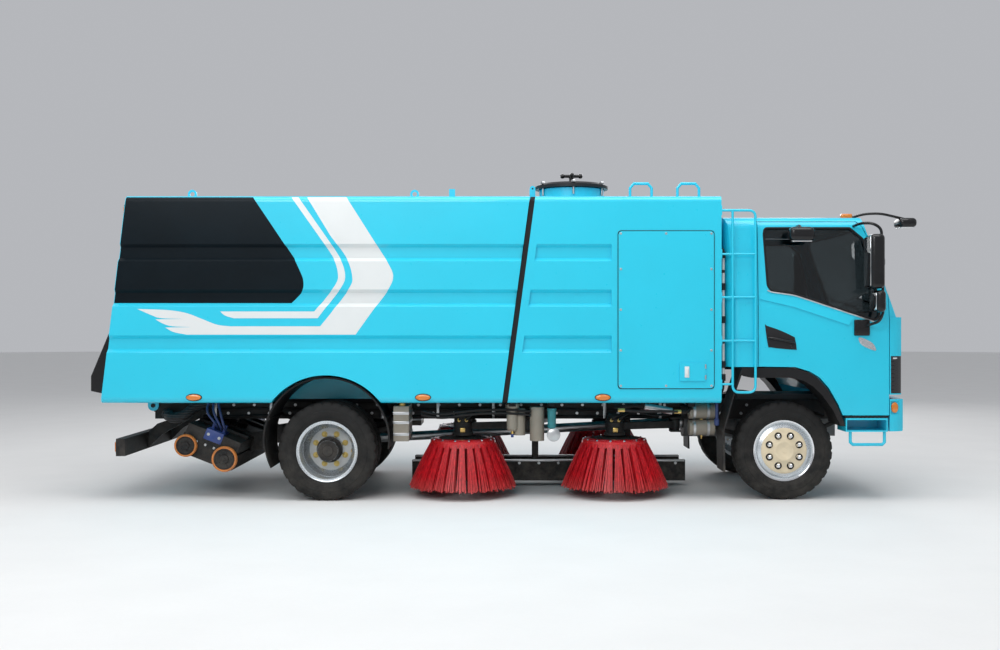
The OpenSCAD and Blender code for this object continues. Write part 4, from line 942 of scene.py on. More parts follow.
bm = bmesh.new()
hatch = (REAR_AXLE + 2.112, -0.5)
for i in range(6):
    a = math.tau * (i + 0.5) / 6
    c, s = math.cos(a), math.sin(a)
    x, y = hatch[0] + 0.30 * c, hatch[1] + 0.30 * s
    tube(bm, [(x, y, 2.64), (x, y, 2.735)], 0.009, sides=10)
    lathe(bm, [(0.022, 0), (0.022, 0.012), (0.014, 0.02), (0, 0.022)], (x, y, 2.745), (0, 0, 1), 5)
piece("hatch_clamps", bm, "steel", "hatch_lid")
bm = bmesh.new()
for dx, dy in ((-0.08, 0), (0.08, 0), (0, -0.08), (0, 0.08)):
    lathe(bm, [(0.008, -0.02), (0.019, -0.014), (0.021, 0), (0.019, 0.014), (0.008, 0.02)],
          (hatch[0] + dx, hatch[1] + dy, 2.830), (1 if dx else 0, 1 if dy else 0, 0), 16)
piece("hatch_knobs", bm, "gloss", "hatch_lid")
bm = bmesh.new()
for s in (-1, 1):
    for x in (REAR_AXLE + 2.583, REAR_AXLE + 2.767, REAR_AXLE + 2.988, REAR_AXLE + 3.172):
        lathe(bm, [(0.030, -0.002), (0.030, 0.004), (0.014, 0.010)], (x, s * 1.010, 2.585),
              (0, 0, 1), 20)
piece("roof_loop_feet", bm, "sky", "chassis")
bm = bmesh.new()
for x in (-2.6, -1.9, -1.2, -0.5):
    box(bm, (x - 0.02, -1.02, 2.583), (x + 0.02, 1.02, 2.591), 0.003)
piece("waste_tank_roof_ribs", bm, "sky", "waste_tank")
bm = bmesh.new()
for x in (0.55, 1.15, 1.65):
    box(bm, (x - 0.02, 0.10, 2.583), (x + 0.02, 1.02, 2.591), 0.003)
piece("water_tank_roof_ribs", bm, "sky", "chassis")
# ---------- cab ----------

CROWN = 18.04


def cab_y(z):
    """Half width of the cab at height z: upright, then leaning in above the belt."""
    return HALF_CAB - 0.0641 * max(z - 1.65, 0)


def screen_x(y, z):
    return FRONT_AXLE + 1.006 - 0.3482 * (z - 1.56) - y * y / CROWN


def face_x(y, z=1.0):
    """Front of the cab below the windscreen."""
    lean = 0.0 if z < 1.30 else (z - 1.30) * 0.083 if z < 1.42 else 0.010 + (z - 1.42) * 0.207
    return FRONT_AXLE + 1.045 - lean - y * y / CROWN


def skin_patch(bm, points, side, depth=0.003):
    """A panel lying on the cab side: (x, z, lift) corners, lift being how far it stands out."""
    front = [bm.verts.new((x, side * (cab_y(z) + lift), z)) for x, z, lift in points]
    back = [bm.verts.new((x, side * (cab_y(z) - depth), z)) for x, z, lift in points]
    bm.faces.new(front)
    bm.faces.new(back[::-1])
    for i in range(len(points)):
        j = (i + 1) % len(points)
        bm.faces.new([front[j], front[i], back[i], back[j]])


WINDOW = [(-0.189, 2.276), (-0.178, 2.318), (0.543, 2.318), (0.657, 2.222), (0.790, 1.650),
          (0.780, 1.560), (0.748, 1.533), (0.063, 1.760), (-0.131, 1.787), (-0.161, 1.828)]

for side_name, side in SIDES.items():
    door = f"door_{side_name}"
    seal = bmesh.new()
    loop = [(FRONT_AXLE + x, side * (cab_y(z) - 0.004), z) for x, z in WINDOW]
    tube(seal, [loop[2]] + loop[3:] + loop[:3], 0.011, bend=0.02, sides=8, steps=3)
    piece(f"window_seal_{side_name}", seal, "rubber", door)
    trim = bmesh.new()
    tube(trim, [(FRONT_AXLE + x, side * (cab_y(z) + 0.004), z) for x, z in
                ((-0.165, 1.790), (-0.131, 1.774), (0.063, 1.747), (0.735, 1.524))], 0.006, sides=8)
    piece(f"window_trim_{side_name}", trim, "steel", door)
    belt = bmesh.new()
    skin_patch(belt, [(2.152, 1.768, 0.0), (2.150, 1.716, 0.009), (2.448, 1.645, 0.011),
                      (2.905, 1.494, 0.011),
                      (2.960, 1.560, 0.001), (2.448, 1.733, 0.0)], side)
    piece(f"door_belt_{side_name}", belt, "sky", door, smooth=20)
    recess, grip = bmesh.new(), bmesh.new()
    skin_patch(recess, [(x, z, 0.004) for x, z in smooth_outline([
        (2.200, 1.490), (2.215, 1.488), (2.330, 1.448), (2.436, 1.398), (2.452, 1.380),
        (2.466, 1.295),
        (2.455, 1.286), (2.340, 1.294), (2.246, 1.306), (2.224, 1.322)], 3)], side)
    tube(grip, [(2.226, side * (HALF_CAB + 0.006), 1.388),
                (2.250, side * (HALF_CAB + 0.024), 1.386),
                (2.420, side * (HALF_CAB + 0.024), 1.352),
                (2.450, side * (HALF_CAB + 0.006), 1.340)],
         0.013, bend=0.02, squash=0.8)
    lathe(grip, [(0.013, 0), (0.013, 0.006), (0.010, 0.008), (0, 0.008)],
          (2.425, side * (HALF_CAB + 0.003), 1.312), (0, side, 0), 20)
    piece(f"handle_recess_{side_name}", recess, "plastic", door)
    piece(f"handle_grip_{side_name}", grip, "gloss", door)
    base, clear = bmesh.new(), bmesh.new()
    shape = [(2.992, 1.388), (3.038, 1.380), (3.110, 1.340), (3.138, 1.288), (3.120, 1.280),
             (3.040, 1.312), (3.000, 1.345)]
    cx, cz = sum(p[0] for p in shape) / 7, sum(p[1] for p in shape) / 7
    skin_patch(base, [(x, z, 0.005) for x, z in smooth_outline(shape, 3)], side)
    skin_patch(clear, [(cx + (x - cx) * 0.8, cz + (z - cz) * 0.72, 0.012) for x,
                       z in smooth_outline(shape, 3)], side)
    piece(f"side_indicator_base_{side_name}", base, "chrome", door)
    piece(f"side_indicator_{side_name}", clear, "clear", door)
    strip = bmesh.new()
    box(strip, (FRONT_AXLE + 0.492, side * (HALF_CAB - 0.03), 0.709),
        (FRONT_AXLE + 0.862, side * (HALF_CAB - 0.003), 0.724), 0.004)
    piece(f"sill_strip_{side_name}", strip, "rubber", "chassis")

    # mirrors: rounded housings on one bent tube, glass facing back
    out = HALF_CAB + 0.15
    bm, glass_bm = bmesh.new(), bmesh.new()
    tube(bm, [(FRONT_AXLE + x, side * y, z) for x, y, z in (
        (0.575, HALF_CAB - 0.042, 2.335), (0.600, out - 0.06, 2.350), (0.680, out, 2.345),
        (0.752, out, 2.300),
        (0.768, out, 1.600), (0.740, out - 0.01, 1.525), (0.650, HALF_CAB, 1.480))], 0.012,
        bend=0.05)
    box(bm, (FRONT_AXLE + 0.565, side * (HALF_CAB + 0.001), 1.405),
        (FRONT_AXLE + 0.698, side * (HALF_CAB + 0.021), 1.540), 0.010, 3)
    for z in (1.43, 1.515):
        bolt(bm, (FRONT_AXLE + 0.59, side * (HALF_CAB + 0.020), z), (0, side, 0), 0.007)
    for x0, x1, z0, z1 in ((0.626, 0.748, 1.797, 2.248), (0.672, 0.757, 1.600, 1.783)):
        y0, y1 = side * (out - 0.089), side * (out + 0.129)
        box(bm, (FRONT_AXLE + x0 + 0.004, y0, z0), (FRONT_AXLE + x1, y1, z1), 0.036, 5)
        box(glass_bm, (FRONT_AXLE + x0 + 0.001, y0 + side * 0.022, z0 + 0.022),
            (FRONT_AXLE + x0 + 0.008, y1 - side * 0.022, z1 - 0.022), 0.003)
        lathe(bm, [(0.017, -0.028), (0.020, -0.02), (0.020, 0.02), (0.017, 0.028)],
              (FRONT_AXLE + 0.762, side * out, (z0 + z1) / 2), (0, 0, 1), 20)
    if side < 0:
        tube(bm, [(FRONT_AXLE + 0.095, side * (HALF_CAB - 0.042), 2.332),
                  (FRONT_AXLE + 0.095, side * (HALF_CAB + 0.04), 2.332),
                  (FRONT_AXLE + 0.095, side * (HALF_CAB + 0.085), 2.31)], 0.012, bend=0.03)
        box(bm, (FRONT_AXLE - 0.008, side * (HALF_CAB + 0.022), 2.198),
            (FRONT_AXLE + 0.203, side * (HALF_CAB + 0.158), 2.317), 0.040, 5)
        box(glass_bm, (FRONT_AXLE + 0.015, side * (HALF_CAB + 0.045), 2.192),
            (FRONT_AXLE + 0.180, side * (HALF_CAB + 0.135), 2.202), 0.004)
    piece(f"mirror_housings_{side_name}", bm, "gloss", door,
          [f"mirrors_{side_name}"])
    piece(f"mirror_glass_{side_name}", glass_bm, "mirror", door)

    # headlamp: fins round the corner, twin lamps, light strip and clear cover
    fins, lamps, strips = bmesh.new(), bmesh.new(), bmesh.new()
    corner_x, corner_y = FRONT_AXLE + 0.865, 0.93

    def round_corner(z, grow, a0, a1, tail=None):
        path = [(corner_x + (0.140 + grow) * math.cos(math.radians(a)),
                 side * (corner_y + (0.180 + grow) * math.sin(math.radians(a))), z)
                for a in range(a0, a1 - 1, -7)]
        return path + ([(face_x(tail) + grow, side * tail, z)] if tail else [])

    for k in range(8):
        z = 0.945 + k * 0.034
        tube(fins, round_corner(z, -0.004, 84, 40), 0.0065, bend=0.01, sides=8, steps=2)
    tube(strips, round_corner(1.214, -0.002, 78, 30) + [(face_x(0.80), side * 0.80, 1.222)], 0.010,
         bend=0.02, sides=8, steps=2)
    tube(strips, [(face_x(1.02) - 0.012, side * 1.02, 1.20),
                  (face_x(1.03) - 0.018, side * 1.03, 1.08),
                  (face_x(1.02) - 0.012, side * 1.02, 0.96)], 0.008, bend=0.05, sides=8)
    for y, z in ((0.845, 1.10), (0.945, 1.085), (0.845, 0.985)):
        lathe(lamps, [(0.046, -0.010), (0.046, 0.003), (0.036, 0.014), (0.018, 0.021), (0, 0.023)],
              (face_x(y) - 0.004, side * y, z), (1, 0, 0), 32)
        lathe(strips, [(0.046, -0.004), (0.053, 0.002), (0.053, 0.008), (0.047, 0.010)],
              (face_x(y) - 0.003, side * y, z), (1, 0, 0), 32)
    piece(f"headlamp_fins_{side_name}", fins, "gloss", "cab")
    piece(f"headlamp_lenses_{side_name}", lamps, "clear", "cab")
    piece(f"headlamp_strips_{side_name}", strips, "chrome", "cab")
    bm = bmesh.new()
    box(bm, (FRONT_AXLE + 0.505, side * 0.90, 2.404), (FRONT_AXLE + 0.600, side * 0.96, 2.452),
        0.012, 3)
    piece(f"roof_marker_{side_name}", bm, "amber", "cab")
    bm = bmesh.new()
    oval_lamp(bm, FRONT_AXLE + 0.917, side * (HALF_CAB - 0.020), 0.795, side, 0.030, 0.045, 0.012)
    piece(f"bumper_reflector_{side_name}", bm, "amber", "chassis")

# windscreen seal and wipers
seal, wipers = bmesh.new(), bmesh.new()
edge = [(-0.81, 1.61), (-0.88, 1.68), (-0.88, 2.26), (-0.81, 2.33), (0.0, 2.33), (0.81, 2.33),
        (0.88, 2.26),
        (0.88, 1.68), (0.81, 1.61), (0.0, 1.61), (-0.81, 1.61)]
tube(seal, [(screen_x(y, z) - 0.003, y, z) for y, z in edge], 0.012, bend=0.04, sides=8, steps=3)
piece("windscreen_seal", seal, "rubber", "cab")
for pivot, tip in (((-0.70, 1.575), (-0.12, 1.72)), ((-0.02, 1.575), (0.60, 1.72))):
    path = [(screen_x(y, z) + lift, y, z) for y, z, lift in (
        (*pivot, 0.012), ((pivot[0] + tip[0]) / 2, (pivot[1] + tip[1]) / 2 + 0.02, 0.026),
        (*tip, 0.018))]
    tube(wipers, path, 0.007, bend=0.1, sides=8)
    tube(wipers, [(screen_x(y, z) + 0.010, y, z) for y,
                  z in ((tip[0] - 0.42, tip[1] - 0.045), (tip[0] + 0.18, tip[1] + 0.03))],
         0.008, sides=6)
    lathe(wipers, [(0.024, -0.01), (0.024, 0.012), (0.014, 0.020), (0, 0.020)],
          (screen_x(*pivot) + 0.002, *pivot), (1, 0, 0.35), 20)
piece("wipers", wipers, "plastic", "cab")

# grille, intake, lamps and blank plate on the front
slats, surround = bmesh.new(), bmesh.new()
for k in range(6):
    z = 1.035 + k * 0.036
    tube(slats, [(face_x(y, z) + 0.003, y, z) for y in (-0.70, -0.35, 0.0, 0.35, 0.70)], 0.011,
         bend=0.2, sides=8, squash=0.6)
loop = [(-0.2, 1.245), (-0.72, 1.245), (-0.735, 1.01), (0.735, 1.01), (0.72, 1.245), (-0.2, 1.245)]
tube(surround, [(face_x(y, z) + 0.001, y, z) for y, z in loop], 0.013, bend=0.03, sides=8)
piece("grille_slats", slats, "gloss", "cab")
piece("grille_surround", surround, "chrome", "cab")
panel = bmesh.new()
for y0 in range(-7, 7):
    a, b = y0 / 10, (y0 + 1) / 10
    panel.faces.new([panel.verts.new(c) for c in (
        (face_x(a) + 0.001, a, 1.015), (face_x(b) + 0.001, b, 1.015), (face_x(b) + 0.001, b, 1.24),
        (face_x(a) + 0.001, a, 1.24))])
piece("grille_back", panel, "plastic", "cab")


def bumper_x(y):
    return FRONT_AXLE + 1.060 - y * y / CROWN


intake, fog = bmesh.new(), bmesh.new()
for k in range(5):
    tube(intake, [(bumper_x(y) - 0.012 + 0.003 * k, y, 0.675 + k * 0.022) for y in (-0.62, -0.3, 0,
            0.3, 0.62)],
         0.009, bend=0.2, sides=8)
piece("bumper_intake", intake, "plastic", "chassis")
for s in (-1, 1):
    lathe(fog, [(0.048, -0.012), (0.048, 0.000), (0.040, 0.006), (0.02, 0.011), (0, 0.012)],
          (bumper_x(0.80) - 0.006, s * 0.80, 0.785), (1, 0, 0), 32)
piece("fog_lamps", fog, "clear", "chassis")
bm = bmesh.new()
box(bm, (bumper_x(0) - 0.004, -0.22, 0.770), (bumper_x(0) + 0.006, 0.22, 0.860), 0.003)
piece("front_blank_plate", bm, "white", "chassis")

# look-down mirror
bm, glass_bm = bmesh.new(), bmesh.new()
tip_x = FRONT_AXLE + 1.055
tube(bm, [(FRONT_AXLE + 0.590, -0.930, 2.416), (FRONT_AXLE + 0.700, -0.940, 2.450),
          (FRONT_AXLE + 0.840, -0.950, 2.455),
          (tip_x, -0.950, 2.405)], 0.011, bend=0.06)
box(bm, (tip_x - 0.074, -1.049, 2.330), (tip_x + 0.0745, -0.851, 2.411), 0.034, 5)
box(glass_bm, (tip_x - 0.055, -1.03, 2.324), (tip_x + 0.055, -0.87, 2.334), 0.004)
piece("look_down_housing", bm, "gloss", "cab", ["look_down_mirror"])
piece("look_down_glass", glass_bm, "mirror", "cab")

# ---------- seats ----------


def cushion(bm, low, high, lean=0.0, seam=0.55, cuts=11):
    """A stuffed pad: crowned faces, soft corners, and two sewn channels along its top."""
    low, high = Vector(low), Vector(high)
    middle, half = (low + high) / 2, (high - low) / 2
    verts = bmesh.ops.create_cube(bm, size=2)["verts"]
    edges = list({edge for vert in verts for edge in vert.link_edges})
    bmesh.ops.subdivide_edges(bm, edges=edges, cuts=cuts, use_grid_fill=True)
    k = 0.34
    for vert in bm.verts:
        u, v, w = vert.co
        u2, v2, w2 = u * u, v * v, w * w
        spot = Vector((u * math.sqrt(1 - k * (v2 + w2) / 2 + k * k * v2 * w2 / 3),
                       v * math.sqrt(1 - k * (u2 + w2) / 2 + k * k * u2 * w2 / 3),
                       w * math.sqrt(1 - k * (u2 + v2) / 2 + k * k * u2 * v2 / 3)))
        channel = 0.10 * math.exp(-((abs(v) - seam) / 0.09) ** 2)
        thin = 0 if half.x > half.z else 2
        spot[2 - thin] *= 1 - channel
        vert.co = middle + Vector(a * b for a, b in zip(spot, half))
        vert.co.x -= lean * (vert.co.z - low.z)


for side_name, side in SIDES.items():
    y = side * 0.56
    x = FRONT_AXLE
    bm = bmesh.new()
    box(bm, (x - 0.115, y - 0.185, 1.192), (x + 0.245, y + 0.185, 1.305), 0.02, 3)
    box(bm, (x - 0.16, y - 0.24, 1.300), (x + 0.33, y + 0.24, 1.325), 0.01, 3)
    tube(bm, [(x - 0.165, y - 0.06, 1.98), (x - 0.180, y - 0.06, 2.06)], 0.007)
    tube(bm, [(x - 0.165, y + 0.06, 1.98), (x - 0.180, y + 0.06, 2.06)], 0.007)
    piece(f"seat_frame_{side_name}", bm, "plastic", "cab")
    pads = (("base", (x - 0.165, y - 0.245, 1.318), (x + 0.335, y + 0.245, 1.432), 0.0, "seat"),
            ("back", (x - 0.165, y - 0.236, 1.425), (x - 0.035, y + 0.236, 2.010), 0.10, "seat"),
            ("head", (x - 0.165, y - 0.118, 2.020), (x - 0.070, y + 0.118, 2.195), 0.10, "seat"))
    for name, low, high, lean, look in pads:
        bm = bmesh.new()
        cushion(bm, low, high, lean, seam=0.55 if name != "head" else 2)
        if name == "head":
            for vert in bm.verts:
                vert.co.x -= 0.055
        thing = piece(f"seat_{name}_{side_name}", bm, look, "cab",
                      ["seats"] if name == "base" and side < 0 else (), smooth=80)

# dashboard details
bm, screen_bm = bmesh.new(), bmesh.new()
box(bm, (FRONT_AXLE + 0.690, 0.38, 1.480), (FRONT_AXLE + 0.880, 0.74, 1.560), 0.03, 4)
box(screen_bm, (FRONT_AXLE + 0.645, -0.13, 1.29), (FRONT_AXLE + 0.665, 0.13, 1.41), 0.006)
for y in (-0.75, -0.30, 0.28, 0.86):
    lathe(bm, [(0.045, 0), (0.048, 0.010), (0.038, 0.016), (0.01, 0.012), (0, 0.012)],
          (FRONT_AXLE + 0.655, y, 1.36), (-1, 0, 0.05), 24)
piece("dashboard_hood", bm, "trim", "cab")
piece("dashboard_screen", screen_bm, "gloss", "cab")
# ---------- underbody ----------

# frame rail bolts, brackets and the hoses and cables tied along the rails
for side_name, side in SIDES.items():
    bm = bmesh.new()
    for k in range(30):
        x = REAR_AXLE - 1.35 + k * 0.185
        for z in (0.700, 0.775):
            bolt(bm, (x + (0.05 if z > 0.75 else 0), side * 0.450, z), (0, side, 0), 0.010)
    piece(f"rail_bolts_{side_name}", bm, "steel", "chassis", smooth=20)
    bm, clips = bmesh.new(), bmesh.new()
    for k, (y, z, r) in enumerate(((0.464, 0.735, 0.011), (0.462, 0.668, 0.013),
                                   (0.470, 0.802, 0.008))):
        tube(bm, [(REAR_AXLE - 1.2, side * y, z), (REAR_AXLE - 0.62, side * y, z + 0.01),
                  (REAR_AXLE + 0.3, side * (y + 0.004), z - 0.008),
                  (REAR_AXLE + 1.3, side * y, z + 0.006),
                  (REAR_AXLE + 2.3, side * (y + 0.003), z - 0.006),
                  (REAR_AXLE + 3.1, side * y, z + 0.004)], r, bend=0.2, sides=10)
    for k in range(9):
        box(clips, (REAR_AXLE - 1.1 + k * 0.5, side * 0.450, 0.655),
            (REAR_AXLE - 1.075 + k * 0.5, side * 0.486, 0.815), 0.003)
    piece(f"rail_hoses_{side_name}", bm, "rubber", "chassis")
    piece(f"rail_clips_{side_name}", clips, "steel", "chassis")

    # bands of the air tanks, oil tank fittings
    bands, brass = bmesh.new(), bmesh.new()
    for z in (0.600, 0.745):
        for x in (REAR_AXLE + 3.165, REAR_AXLE + 3.285):
            lathe(bands, [(0.0685, -0.012), (0.0715, -0.010), (0.0715, 0.010), (0.0685, 0.012)],
                  (x, side * 0.78, z), (1, 0, 0), 40)
        lathe(brass, [(0.012, 0), (0.012, 0.012), (0.007, 0.014), (0.007, 0.03), (0, 0.03)],
              (REAR_AXLE + 3.23, side * 0.78, z - 0.068), (0, 0, -1), 6)
    for z in (0.56, 0.66, 0.74):
        box(bands, (REAR_AXLE + 0.556, side * 0.596, z - 0.012),
            (REAR_AXLE + 0.694, side * 1.013, z + 0.012), 0.002)
    lathe(brass, [(0.035, 0), (0.035, 0.02), (0.028, 0.026), (0, 0.026)],
          (REAR_AXLE + 0.625, side * 0.93, 0.80), (0, 0, 1), 24)
    piece(f"tank_bands_{side_name}", bands, "steel", "chassis")
    piece(f"tank_fittings_{side_name}", brass, "brass", "chassis")

    # spring clamps
    bm = bmesh.new()
    for axle, z, half in ((FRONT_AXLE, WHEEL_Z + 0.07, 0.07), (REAR_AXLE, WHEEL_Z + 0.09, 0.09)):
        for dx in (-half, half):
            tube(bm, [(axle + dx, side * 0.368, z - 0.12), (axle + dx, side * 0.368, z + 0.065),
                      (axle + dx, side * 0.462, z + 0.065),
                      (axle + dx, side * 0.462, z - 0.12)], 0.010, bend=0.02, sides=8)
    piece(f"spring_clamps_{side_name}", bm, "steel", "chassis")

    # brush motors and their hoses
    for end, x in BRUSH_X.items():
        arm = f"brush_arm_{end}_{side_name}"
        pivot = Vector((x + 0.56, side * 0.52, 0))
        motor, fit, hose = bmesh.new(), bmesh.new(), bmesh.new()
        lathe(motor, [(0.079, 0.525), (0.092, 0.528), (0.092, 0.548), (0.080, 0.552),
                      (0.080, 0.600), (0.084, 0.604),
                      (0.084, 0.640), (0.080, 0.644), (0.062, 0.672), (0.060, 0.700),
                      (0.050, 0.712), (0, 0.712)],
              (x, side * BRUSH_Y, 0), (0, 0, 1), 40)
        for k in range(6):
            a = math.tau * (k + 0.5) / 6
            bolt(motor, (x + 0.084 * math.cos(a), side * BRUSH_Y + 0.084 * math.sin(a), 0.548),
                 (0, 0, 1), 0.008)
        for dx in (-0.032, 0.032):
            lathe(fit, [(0.014, 0), (0.014, 0.018), (0.010, 0.020), (0.010, 0.036), (0.013, 0.038),
                        (0.013, 0.052), (0, 0.052)],
                  (x + dx, side * (BRUSH_Y + 0.058), 0.655), (0, side, 0.25), 6)
            tube(hose, [(x + dx, side * (BRUSH_Y + 0.105), 0.667),
                        (x + dx + 0.03, side * (BRUSH_Y + 0.135), 0.70),
                        (x + 0.16, side * (BRUSH_Y - 0.02), 0.742),
                        (x + 0.34, side * (BRUSH_Y - 0.09 + dx), 0.690),
                        (pivot.x - 0.03, side * (0.535 + dx), 0.700),
                        (pivot.x + 0.01, side * (0.50 + dx), 0.715)],
                 0.0095, bend=0.06, sides=10)
        box(fit, (x - 0.022, side * (BRUSH_Y + 0.070), 0.556),
            (x + 0.022, side * (BRUSH_Y + 0.098), 0.596), 0.005)
        piece(f"brush_motor_{end}_{side_name}", motor, "chassis", arm)
        piece(f"brush_motor_fittings_{end}_{side_name}", fit, "brass", arm, smooth=25)
        piece(f"brush_hoses_{end}_{side_name}", hose, "rubber", arm)

# machinery hung below the frame on the near side, and its match on the far side
units, silver, teal, blue, brass, black = (bmesh.new() for _ in range(6))
for s in (-1, 1):
    # return filter with a brass drain, small canister, round cap
    lathe(units, [(0, -0.22), (0.030, -0.218), (0.048, -0.200), (0.051, -0.02), (0.060, -0.018),
                  (0.060, 0.012), (0.05, 0.02), (0, 0.02)],
          (0.062, s * 0.93, 0.800), (0, 0, 1), 32)
    lathe(brass, [(0, -0.035), (0.010, -0.033), (0.013, -0.012), (0.013, 0.0)],
          (0.062, s * 0.93, 0.582), (0, 0, 1), 6)
    lathe(blue, [(0, -0.03), (0.012, -0.028), (0.012, 0)], (0.062, s * 0.93, 0.556), (0, 0, 1), 12)
    lathe(teal, [(0, -0.175), (0.030, -0.17), (0.036, -0.155), (0.036, -0.02), (0.040, -0.018),
                 (0.040, 0), (0, 0.0)],
          (0.400, s * 0.98, 0.780), (0, 0, 1), 32)
    lathe(silver, [(0.055, -0.03), (0.058, -0.025), (0.058, 0.0), (0.050, 0.006), (0.020, 0.010),
                   (0, 0.010)],
          (0.415, s * 1.00, 0.555), (0, s, 0), 32)
    tube(silver, [(1.195, s * 0.985, 0.798), (1.43, s * 0.985, 0.756)], 0.030, sides=28)
    tube(black, [(1.43, s * 0.985, 0.756), (1.50, s * 0.985, 0.745), (1.56, s * 0.97, 0.75),
                 (1.60, s * 0.90, 0.78)], 0.018, bend=0.05)
    tube(black, [(1.195, s * 0.985, 0.798), (1.12, s * 0.985, 0.806), (1.02, s * 0.93, 0.79),
                 (0.96, s * 0.80, 0.78)], 0.018, bend=0.05)
    tube(black, [(0.99, s * 1.04, 0.770), (1.12, s * 1.06, 0.758), (1.30, s * 1.06, 0.762),
                 (1.47, s * 1.05, 0.757)], 0.012, bend=0.08)
    for x, z in ((0.99, 0.770), (1.47, 0.757)):
        lathe(brass, [(0.014, -0.03), (0.017, -0.028), (0.017, 0.028), (0.014, 0.03)],
              (x, s * 1.045, z), (1, 0, 0), 6)
    for z in (0.722, 0.752):
        tube(black, [(-0.72, s * 0.95, z), (-0.55, s * 0.98, z - 0.03), (-0.30, s * 0.99, z + 0.01),
                     (0.0, s * 0.985, z + 0.02),
                     (0.22, s * 0.97, z)], 0.011, bend=0.12, sides=10)
    # bracket plates that carry them from the tank floor
    for x in (0.062, 0.400, 1.20, 1.60):
        box(black, (x - 0.03, s * 0.88, 0.796), (x + 0.03, s * 1.00, 0.836), 0.004)
        box(black, (x - 0.022, s * 0.455, 0.760), (x + 0.022, s * 0.90, 0.782), 0.004)
piece("return_filters", units, "unit", "chassis")
piece("teal_canisters", teal, "teal", "chassis")
piece("silver_pipes", silver, "steel", "chassis")
piece("drain_taps", blue, "blue", "chassis")
piece("pipe_fittings", brass, "brass", "chassis", smooth=25)
piece("underbody_hoses", black, "rubber", "chassis")

# skirt bolts and rails under the frame
bm = bmesh.new()
for s in (-1, 1):
    for k in range(14):
        bolt(bm, (REAR_AXLE + 0.75 + k * 0.18, s * 0.202, 0.222), (0, s, 0), 0.010)
piece("skirt_bolts", bm, "steel", "chassis", smooth=20)
bm = bmesh.new()
for s in (-1, 1):
    box(bm, (REAR_AXLE + 0.665, s * 0.186, 0.236), (REAR_AXLE + 3.175, s * 0.206, 0.256), 0.003)
piece("skirt_rails", bm, "steel", "chassis")

# ---------- suction gear ----------

HINGE = Vector((REAR_AXLE - 0.25, 0, 0.56))
LIFTED = Matrix.Translation(HINGE) @ Matrix.Rotation(math.radians(21.5), 4,
                                                     "Y") @ Matrix.Translation(-HINGE)


def lifted(x, y, z):
    """A point given for the nozzle at work, moved to its raised place."""
    return LIFTED @ Vector((REAR_AXLE + x, y, z))


rubber, blue, bolts, black = (bmesh.new() for _ in range(4))
for low, high in (((-1.192, -0.90, 0.012), (-1.181, 0.90, 0.20)),
                  ((-0.699, -0.90, 0.020), (-0.688, 0.90, 0.18))):
    box(rubber, (REAR_AXLE + low[0], low[1], low[2] + 0.02),
        (REAR_AXLE + high[0], high[1], high[2]), 0.003)
for s in (-1, 1):
    box(rubber, (REAR_AXLE - 1.17, s * 0.901, 0.030), (REAR_AXLE - 0.71, s * 0.909, 0.19), 0.003)
    box(blue, (REAR_AXLE - 1.02, s * 0.70, 0.290), (REAR_AXLE - 0.86, s * 0.90, 0.306), 0.004)
    box(blue, (REAR_AXLE - 1.02, s * 0.886, 0.210), (REAR_AXLE - 0.86, s * 0.904, 0.306), 0.004)
    for dx in (-0.99, -0.89):
        bolt(bolts, (REAR_AXLE + dx, s * 0.904, 0.26), (0, s, 0), 0.010)
        box(blue, (REAR_AXLE + dx - 0.012, s * 0.78, 0.300),
            (REAR_AXLE + dx + 0.012, s * 0.82, 0.370), 0.004)
    for k in range(6):
        bolt(bolts, (REAR_AXLE - 1.14 + k * 0.08, s * 0.909, 0.165), (0, s, 0), 0.008)
for y in (-0.6, -0.3, 0.3, 0.6):
    box(black, (REAR_AXLE - 1.17, y - 0.012, 0.288), (REAR_AXLE - 0.71, y + 0.012, 0.318), 0.004)
for k in range(10):
    bolt(bolts, (REAR_AXLE - 1.1805, -0.81 + k * 0.18, 0.165), (-1, 0, 0), 0.008)
    bolt(bolts, (REAR_AXLE - 0.6995, -0.81 + k * 0.18, 0.145), (1, 0, 0), 0.008)
for bm in (rubber, blue, bolts, black):
    moved(bm, bm.verts, LIFTED)
piece("nozzle_skirts", rubber, "rubber", "suction_nozzle")
piece("nozzle_lift_brackets", blue, "blue", "suction_nozzle")
piece("nozzle_bolts", bolts, "steel", "suction_nozzle", smooth=20)
piece("nozzle_ribs", black, "chassis", "suction_nozzle")

for name, (x, z), r in (("nozzle_rear_wheels", (-1.128, 0.104), 0.098),
                        ("nozzle_front_wheels", (-0.775, 0.118), 0.111)):
    rubber, hubs = bmesh.new(), bmesh.new()
    for s in (-1, 1):
        centre = lifted(x, s * 0.937, z)
        lathe(rubber, [(r * 0.82, -0.022), (r * 0.86, -0.025), (r - 0.008, -0.0245),
                       (r - 0.002, -0.018), (r, -0.006), (r, 0.006),
                       (r - 0.002, 0.018), (r - 0.008, 0.0245), (r * 0.86, 0.025),
                       (r * 0.82, 0.022), (r * 0.82, -0.022)],
              centre, (0, s, 0), 64, close=False)
        lathe(hubs, [(r * 0.83, -0.020), (r * 0.83, 0.018), (r * 0.77, 0.021), (r * 0.68, 0.012),
                     (r * 0.34, 0.010), (r * 0.32, 0.023),
                     (r * 0.22, 0.024), (0, 0.024)], centre, (0, s, 0), 48)
        for k in range(5):
            a = math.tau * k / 5
            bolt(hubs, centre + Vector((r * 0.50 * math.cos(a), s * 0.010, r * 0.50 * math.sin(a))),
                 (0, s, 0), 0.007)
        bolt(hubs, centre + Vector((0, s * 0.023, 0)), (0, s, 0), 0.012)
    tube(hubs, [lifted(x, -0.925, z), lifted(x, 0.925, z)], 0.012)
    piece(f"{name}_tyres", rubber, "wheel_rubber", name, [name])
    piece(f"{name}_hubs", hubs, "chassis", name, smooth=30)

